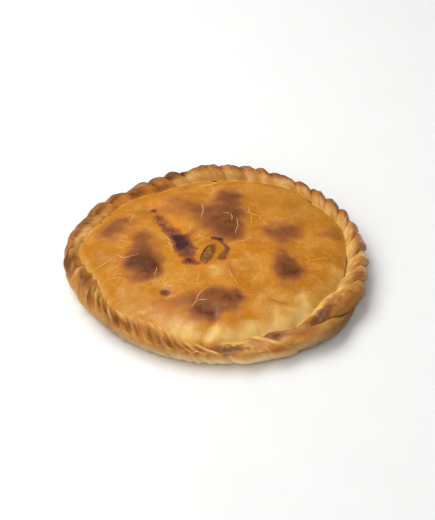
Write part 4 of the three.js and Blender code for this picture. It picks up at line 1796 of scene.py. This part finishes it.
    def base_surface(self, points: ZonePoints) -> tuple[Array, Looks]:
        """The flat underside.

        Args:
            points: the vertices, across from the base's edge to its middle.

        Returns:
            Their places in mm, and each look by name.
        """
        form, columns, across = self.form, points.columns, points.across
        steps = np.arange(len(columns.angle) + 1)
        column = points.turn * steps[-1]
        own = np.interp(column, steps, closed(columns.angle, TURN))
        slant = np.interp(column, steps, closed(columns.slant))
        angle = form.slanted(own, slant, np.zeros_like(own))
        edge = form.wavy(form.mean_radius, form.outline_waves, angle) - form.base_inset
        plain = np.ones_like(across)
        looks = {"under": self.base_starts.of(across), "wall": plain, "bread": HALF * plain}
        return round_places(angle, edge * (1 - across), 0.0), looks


@dataclass
class VentFilling:
    """The lump of filling that shows in the vent. Sizes are in mm."""

    form: PieForm
    finish: FillingFinish
    gap: float = 0.4
    spread: float = 0.07
    top: float = 0.5
    flatness: float = 0.3
    lump: float = 1.5
    lump_size: float = 4.2
    lumps_start: Rise = Rise(0.0, 0.6)
    subdivisions: int = 5

    def build(self) -> bpy.types.Object:
        """Builds and dresses the filling.

        Returns:
            The piece, riding on the frame in place of its solid.
        """
        form = self.form
        floor = form.vent_height() - form.well_depth + self.gap
        top = form.vent_height() + self.top
        widest = form.well_share + self.spread
        shape = bmesh.new()
        bmesh.ops.create_icosphere(shape, subdivisions=self.subdivisions, radius=1.0)
        ball_x, ball_y, ball_z = np.array([point.co for point in shape.verts]).T
        fullness = np.sqrt(np.maximum(np.hypot(ball_x, ball_y), SMALL))
        x, y = form.vent_place(np.arctan2(ball_y, ball_x), widest * fullness)
        level = np.sign(ball_z) * np.abs(ball_z) ** self.flatness
        places = stacked(x, y, floor + (top - floor) * (level * HALF + HALF))
        rough = self.lump * lumps(places, self.lump_size, Pattern.FILLING) * self.lumps_start.of(ball_z)
        places[:, 2] += rough
        for point, place in zip(shape.verts, form.in_frame(places)):
            point.co = place
        piece = object_from("filling_in_vent", shape, self.finish.material())
        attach(piece, ROOT_BODY)
        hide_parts("vent_filling")
        return piece


@dataclass
class GlazeCracks:
    """Thin pale cracks in the lid's glaze, each along a wandering path. Sizes are in mm."""

    form: PieForm
    finish: CrackFinish
    half_width: float = 0.31
    lift: float = 0.06
    spacing: float = 1.1
    fewest_steps: int = 3
    wander: float = 0.9
    wander_size: float = 4.0
    taper_starts: float = 0.06
    taper_ends: float = 0.94
    above_pie: float = 100.0
    paths: tuple[tuple[Place, ...], ...] = (
        ((-18, 70), (-17, 62), (-17, 53), (-19, 46)), ((29, 65), (30, 52), (39, 49), (42, 41), (50, 28)),
        ((39, 49), (48, 53)), ((25, 55), (30, 52)), ((17, 42), (18, 29), (15, 17)), ((12, 49), (12, 38)),
        ((4, 51), (11, 49)), ((32, 48), (31, 35)), ((9, -39), (11, -49), (14, -56), (17, -65)),
        ((-20, -47), (-22, -62)), ((-11, -68), (-20, -78), (-22, -87), (-27, -96)),
        ((-21, -87), (-12, -88)), ((-87, 58), (-89, 45), (-90, 39)), ((-100, 13), (-94, 7)),
        ((-96, 11), (-86, 3)), ((-108, -7), (-94, -18), (-78, -17)),
        ((-123, -26), (-113, -23), (-102, -14)), ((-115, -49), (-106, -45), (-96, -49), (-89, -54)),
        ((-29, 33), (-31, 21)), ((91, -22), (107, -17)), ((-61, -37), (-63, -50)), ((16, 3), (32, 13)),
    )

    def line(self, path: tuple[Place, ...]) -> Array:
        """The middle line of a crack, evenly stepped and wandering.

        Args:
            path: the corners that the crack goes by.

        Returns:
            The places along the line, one row each.
        """
        corners = np.array(path, float)
        lengths = np.append(0, np.cumsum(np.hypot(*np.diff(corners, axis=0).T)))
        steps = np.linspace(0, lengths[-1], max(int(lengths[-1] / self.spacing), self.fewest_steps))
        x, y = (np.interp(steps, lengths, coordinates) for coordinates in corners.T)
        spots = stacked(x, y, 0.0)
        drift = [lumps(spots, self.wander_size, pattern) for pattern in (Pattern.CRACK_X, Pattern.CRACK_Y)]
        return np.stack([x, y], axis=1) + self.wander * np.stack(drift, axis=1)

    def build(self, crust: bpy.types.Object) -> bpy.types.Object:
        """Builds and dresses the cracks.

        Args:
            crust: the piece that they lie on.

        Returns:
            The piece, riding on the frame.
        """
        skin = bmesh.new()
        skin.from_mesh(crust.data)
        surface = BVHTree.FromBMesh(skin)
        skin.free()
        shape = bmesh.new()
        for path in self.paths:
            self.add_ribbon(shape, surface, self.line(path))
        piece = object_from("glaze_cracks", shape, self.finish.material())
        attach(piece, ROOT_BODY)
        return piece

    def add_ribbon(self, shape: bmesh.types.BMesh, surface: BVHTree, line: Array) -> None:
        """Adds one crack by extruding its end edge along a line over the crust.

        Args:
            shape: the cracks' mesh.
            surface: the crust that the crack lies on.
            line: the crack's middle line, in mm.
        """
        direction = np.gradient(line, axis=0)
        direction = direction / np.maximum(np.hypot(*direction.T), SMALL)[:, None]
        side = np.stack([-direction[:, 1], direction[:, 0]], axis=1)
        taper = np.sin(np.pi * np.linspace(self.taper_starts, self.taper_ends, len(line))) ** HALF
        edge = None
        for middle, across, share in zip(line, side, taper):
            ends = [middle + sign * across * self.half_width * share for sign in (-1, 1)]
            spots = [self.lay(surface, end) for end in ends]
            if edge is None:
                edge = shape.edges.new([shape.verts.new(spot) for spot in spots])
                continue
            made = bmesh.ops.extrude_edge_only(shape, edges=[edge])["geom"]
            edge = next(part for part in made if isinstance(part, bmesh.types.BMEdge))
            for point, spot in zip(edge.verts, spots):
                point.co = spot

    def lay(self, surface: BVHTree, place: Array) -> Vector:
        """Lays a place of the lid on the crust.

        Args:
            surface: the crust.
            place: the place's x and y, in mm.

        Returns:
            The place in the frame, just above the crust.
        """
        above = Vector(self.form.in_frame(np.array([*place, self.above_pie])))
        hit, _, _, _ = surface.ray_cast(above, Vector((0, 0, -1)))
        return hit + Vector((0, 0, self.lift * MM))


@dataclass(frozen=True)
class SoftLight:
    """A large soft light: the direction it shines from, its distance, its width, depth and power."""

    name: str
    direction: tuple[float, float, float]
    distance: float
    width: float
    depth: float
    power: float


@dataclass
class Studio:
    """Plain floor, soft lights and the camera at the photograph's angle."""

    form: PieForm
    finish: FloorFinish
    floor_size: float = 6.0
    floor_segments: int = 8
    floor_drop: float = 0.0003
    lights: tuple[SoftLight, ...] = (
        SoftLight("overhead_light", (-0.42, 0.22, 0.88), 1.6, 1.9, 1.2, 25.5),
        SoftLight("right_light", (0.72, -0.1, 0.69), 1.7, 1.2, 1.2, 4.0),
        SoftLight("back_light", (-0.1, 0.92, 0.38), 1.7, 1.6, 0.5, 1.2),
        SoftLight("front_light", (-0.42, -0.7, 0.58), 1.9, 2.0, 1.4, 14.0),
    )
    sky: float = 0.2
    backdrop: float = 0.95
    elevation: float = 37.05
    distance: float = 1.8
    aim_x: float = -2.2
    aim_z: float = 15.0
    lens: float = 126.0

    def build(self) -> None:
        """Builds the floor, the lights, the sky and the camera."""
        self.add_floor()
        for light in self.lights:
            self.add_light(light)
        self.add_sky()
        self.add_camera()

    def add_floor(self) -> None:
        """Adds the floor just under the pie."""
        shape = bmesh.new()
        segments = self.floor_segments
        bmesh.ops.create_grid(shape, x_segments=segments, y_segments=segments, size=HALF * self.floor_size)
        bmesh.ops.translate(shape, verts=shape.verts, vec=(0, 0, -self.floor_drop))
        object_from("floor", shape, self.finish.material())

    def add_light(self, light: SoftLight) -> None:
        """Adds a soft light that faces the pie.

        Args:
            light: the light's facts.
        """
        lamp = bpy.data.lights.new(light.name, "AREA")
        lamp.shape = "RECTANGLE"
        lamp.size = light.width
        lamp.size_y = light.depth
        lamp.energy = light.power
        holder = bpy.data.objects.new(light.name, lamp)
        direction = Vector(light.direction).normalized()
        holder.location = direction * light.distance
        holder.rotation_euler = direction.to_track_quat("Z", "Y").to_euler()
        bpy.context.scene.collection.objects.link(holder)

    def add_sky(self) -> None:
        """Adds a dim sky that the camera sees as a white backdrop, and shows colours as they are."""
        world = bpy.data.worlds.new("sky")
        world.use_nodes = True
        nodes, links = world.node_tree.nodes, world.node_tree.links
        seen = nodes.new("ShaderNodeLightPath")
        strength = nodes.new("ShaderNodeMapRange")
        strength.inputs["To Min"].default_value = self.sky
        strength.inputs["To Max"].default_value = self.backdrop
        links.new(seen.outputs["Is Camera Ray"], strength.inputs["Value"])
        links.new(strength.outputs["Result"], nodes["Background"].inputs["Strength"])
        nodes["Background"].inputs["Color"].default_value = WHITE
        bpy.context.scene.world = world
        bpy.context.scene.view_settings.view_transform = "Standard"

    def add_camera(self) -> None:
        """Adds the camera, which looks down at the pie's front."""
        lens = bpy.data.cameras.new("camera")
        lens.lens = self.lens
        camera = bpy.data.objects.new("camera", lens)
        aim = Vector(self.form.in_frame(np.array([self.aim_x, 0.0, self.aim_z])))
        tilt = math.radians(self.elevation)
        back = Vector((0, -math.cos(tilt), math.sin(tilt)))
        camera.location = aim + self.distance * back
        camera.rotation_euler = (-back).to_track_quat("-Z", "Y").to_euler()
        bpy.context.scene.collection.objects.link(camera)
        bpy.context.scene.camera = camera


def report(piece: bpy.types.Object) -> None:
    """Logs a piece's name and its count of triangles."""
    piece.data.calc_loop_triangles()
    LOG.info("%s: %d triangles", piece.name, len(piece.data.loop_triangles))


def main() -> None:
    """Builds the empanada and its studio, and logs each piece's triangles."""
    logging.basicConfig(level=logging.INFO, format="%(message)s")
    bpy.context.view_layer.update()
    form = PieForm()
    crust = Crust(form, CrustFinish(), LidBaking(), RimBaking(), Crater()).build()
    report(crust)
    report(VentFilling(form, FillingFinish()).build())
    report(GlazeCracks(form, CrackFinish()).build(crust))
    Studio(form, FloorFinish()).build()


if __name__ == "__main__":
    main()
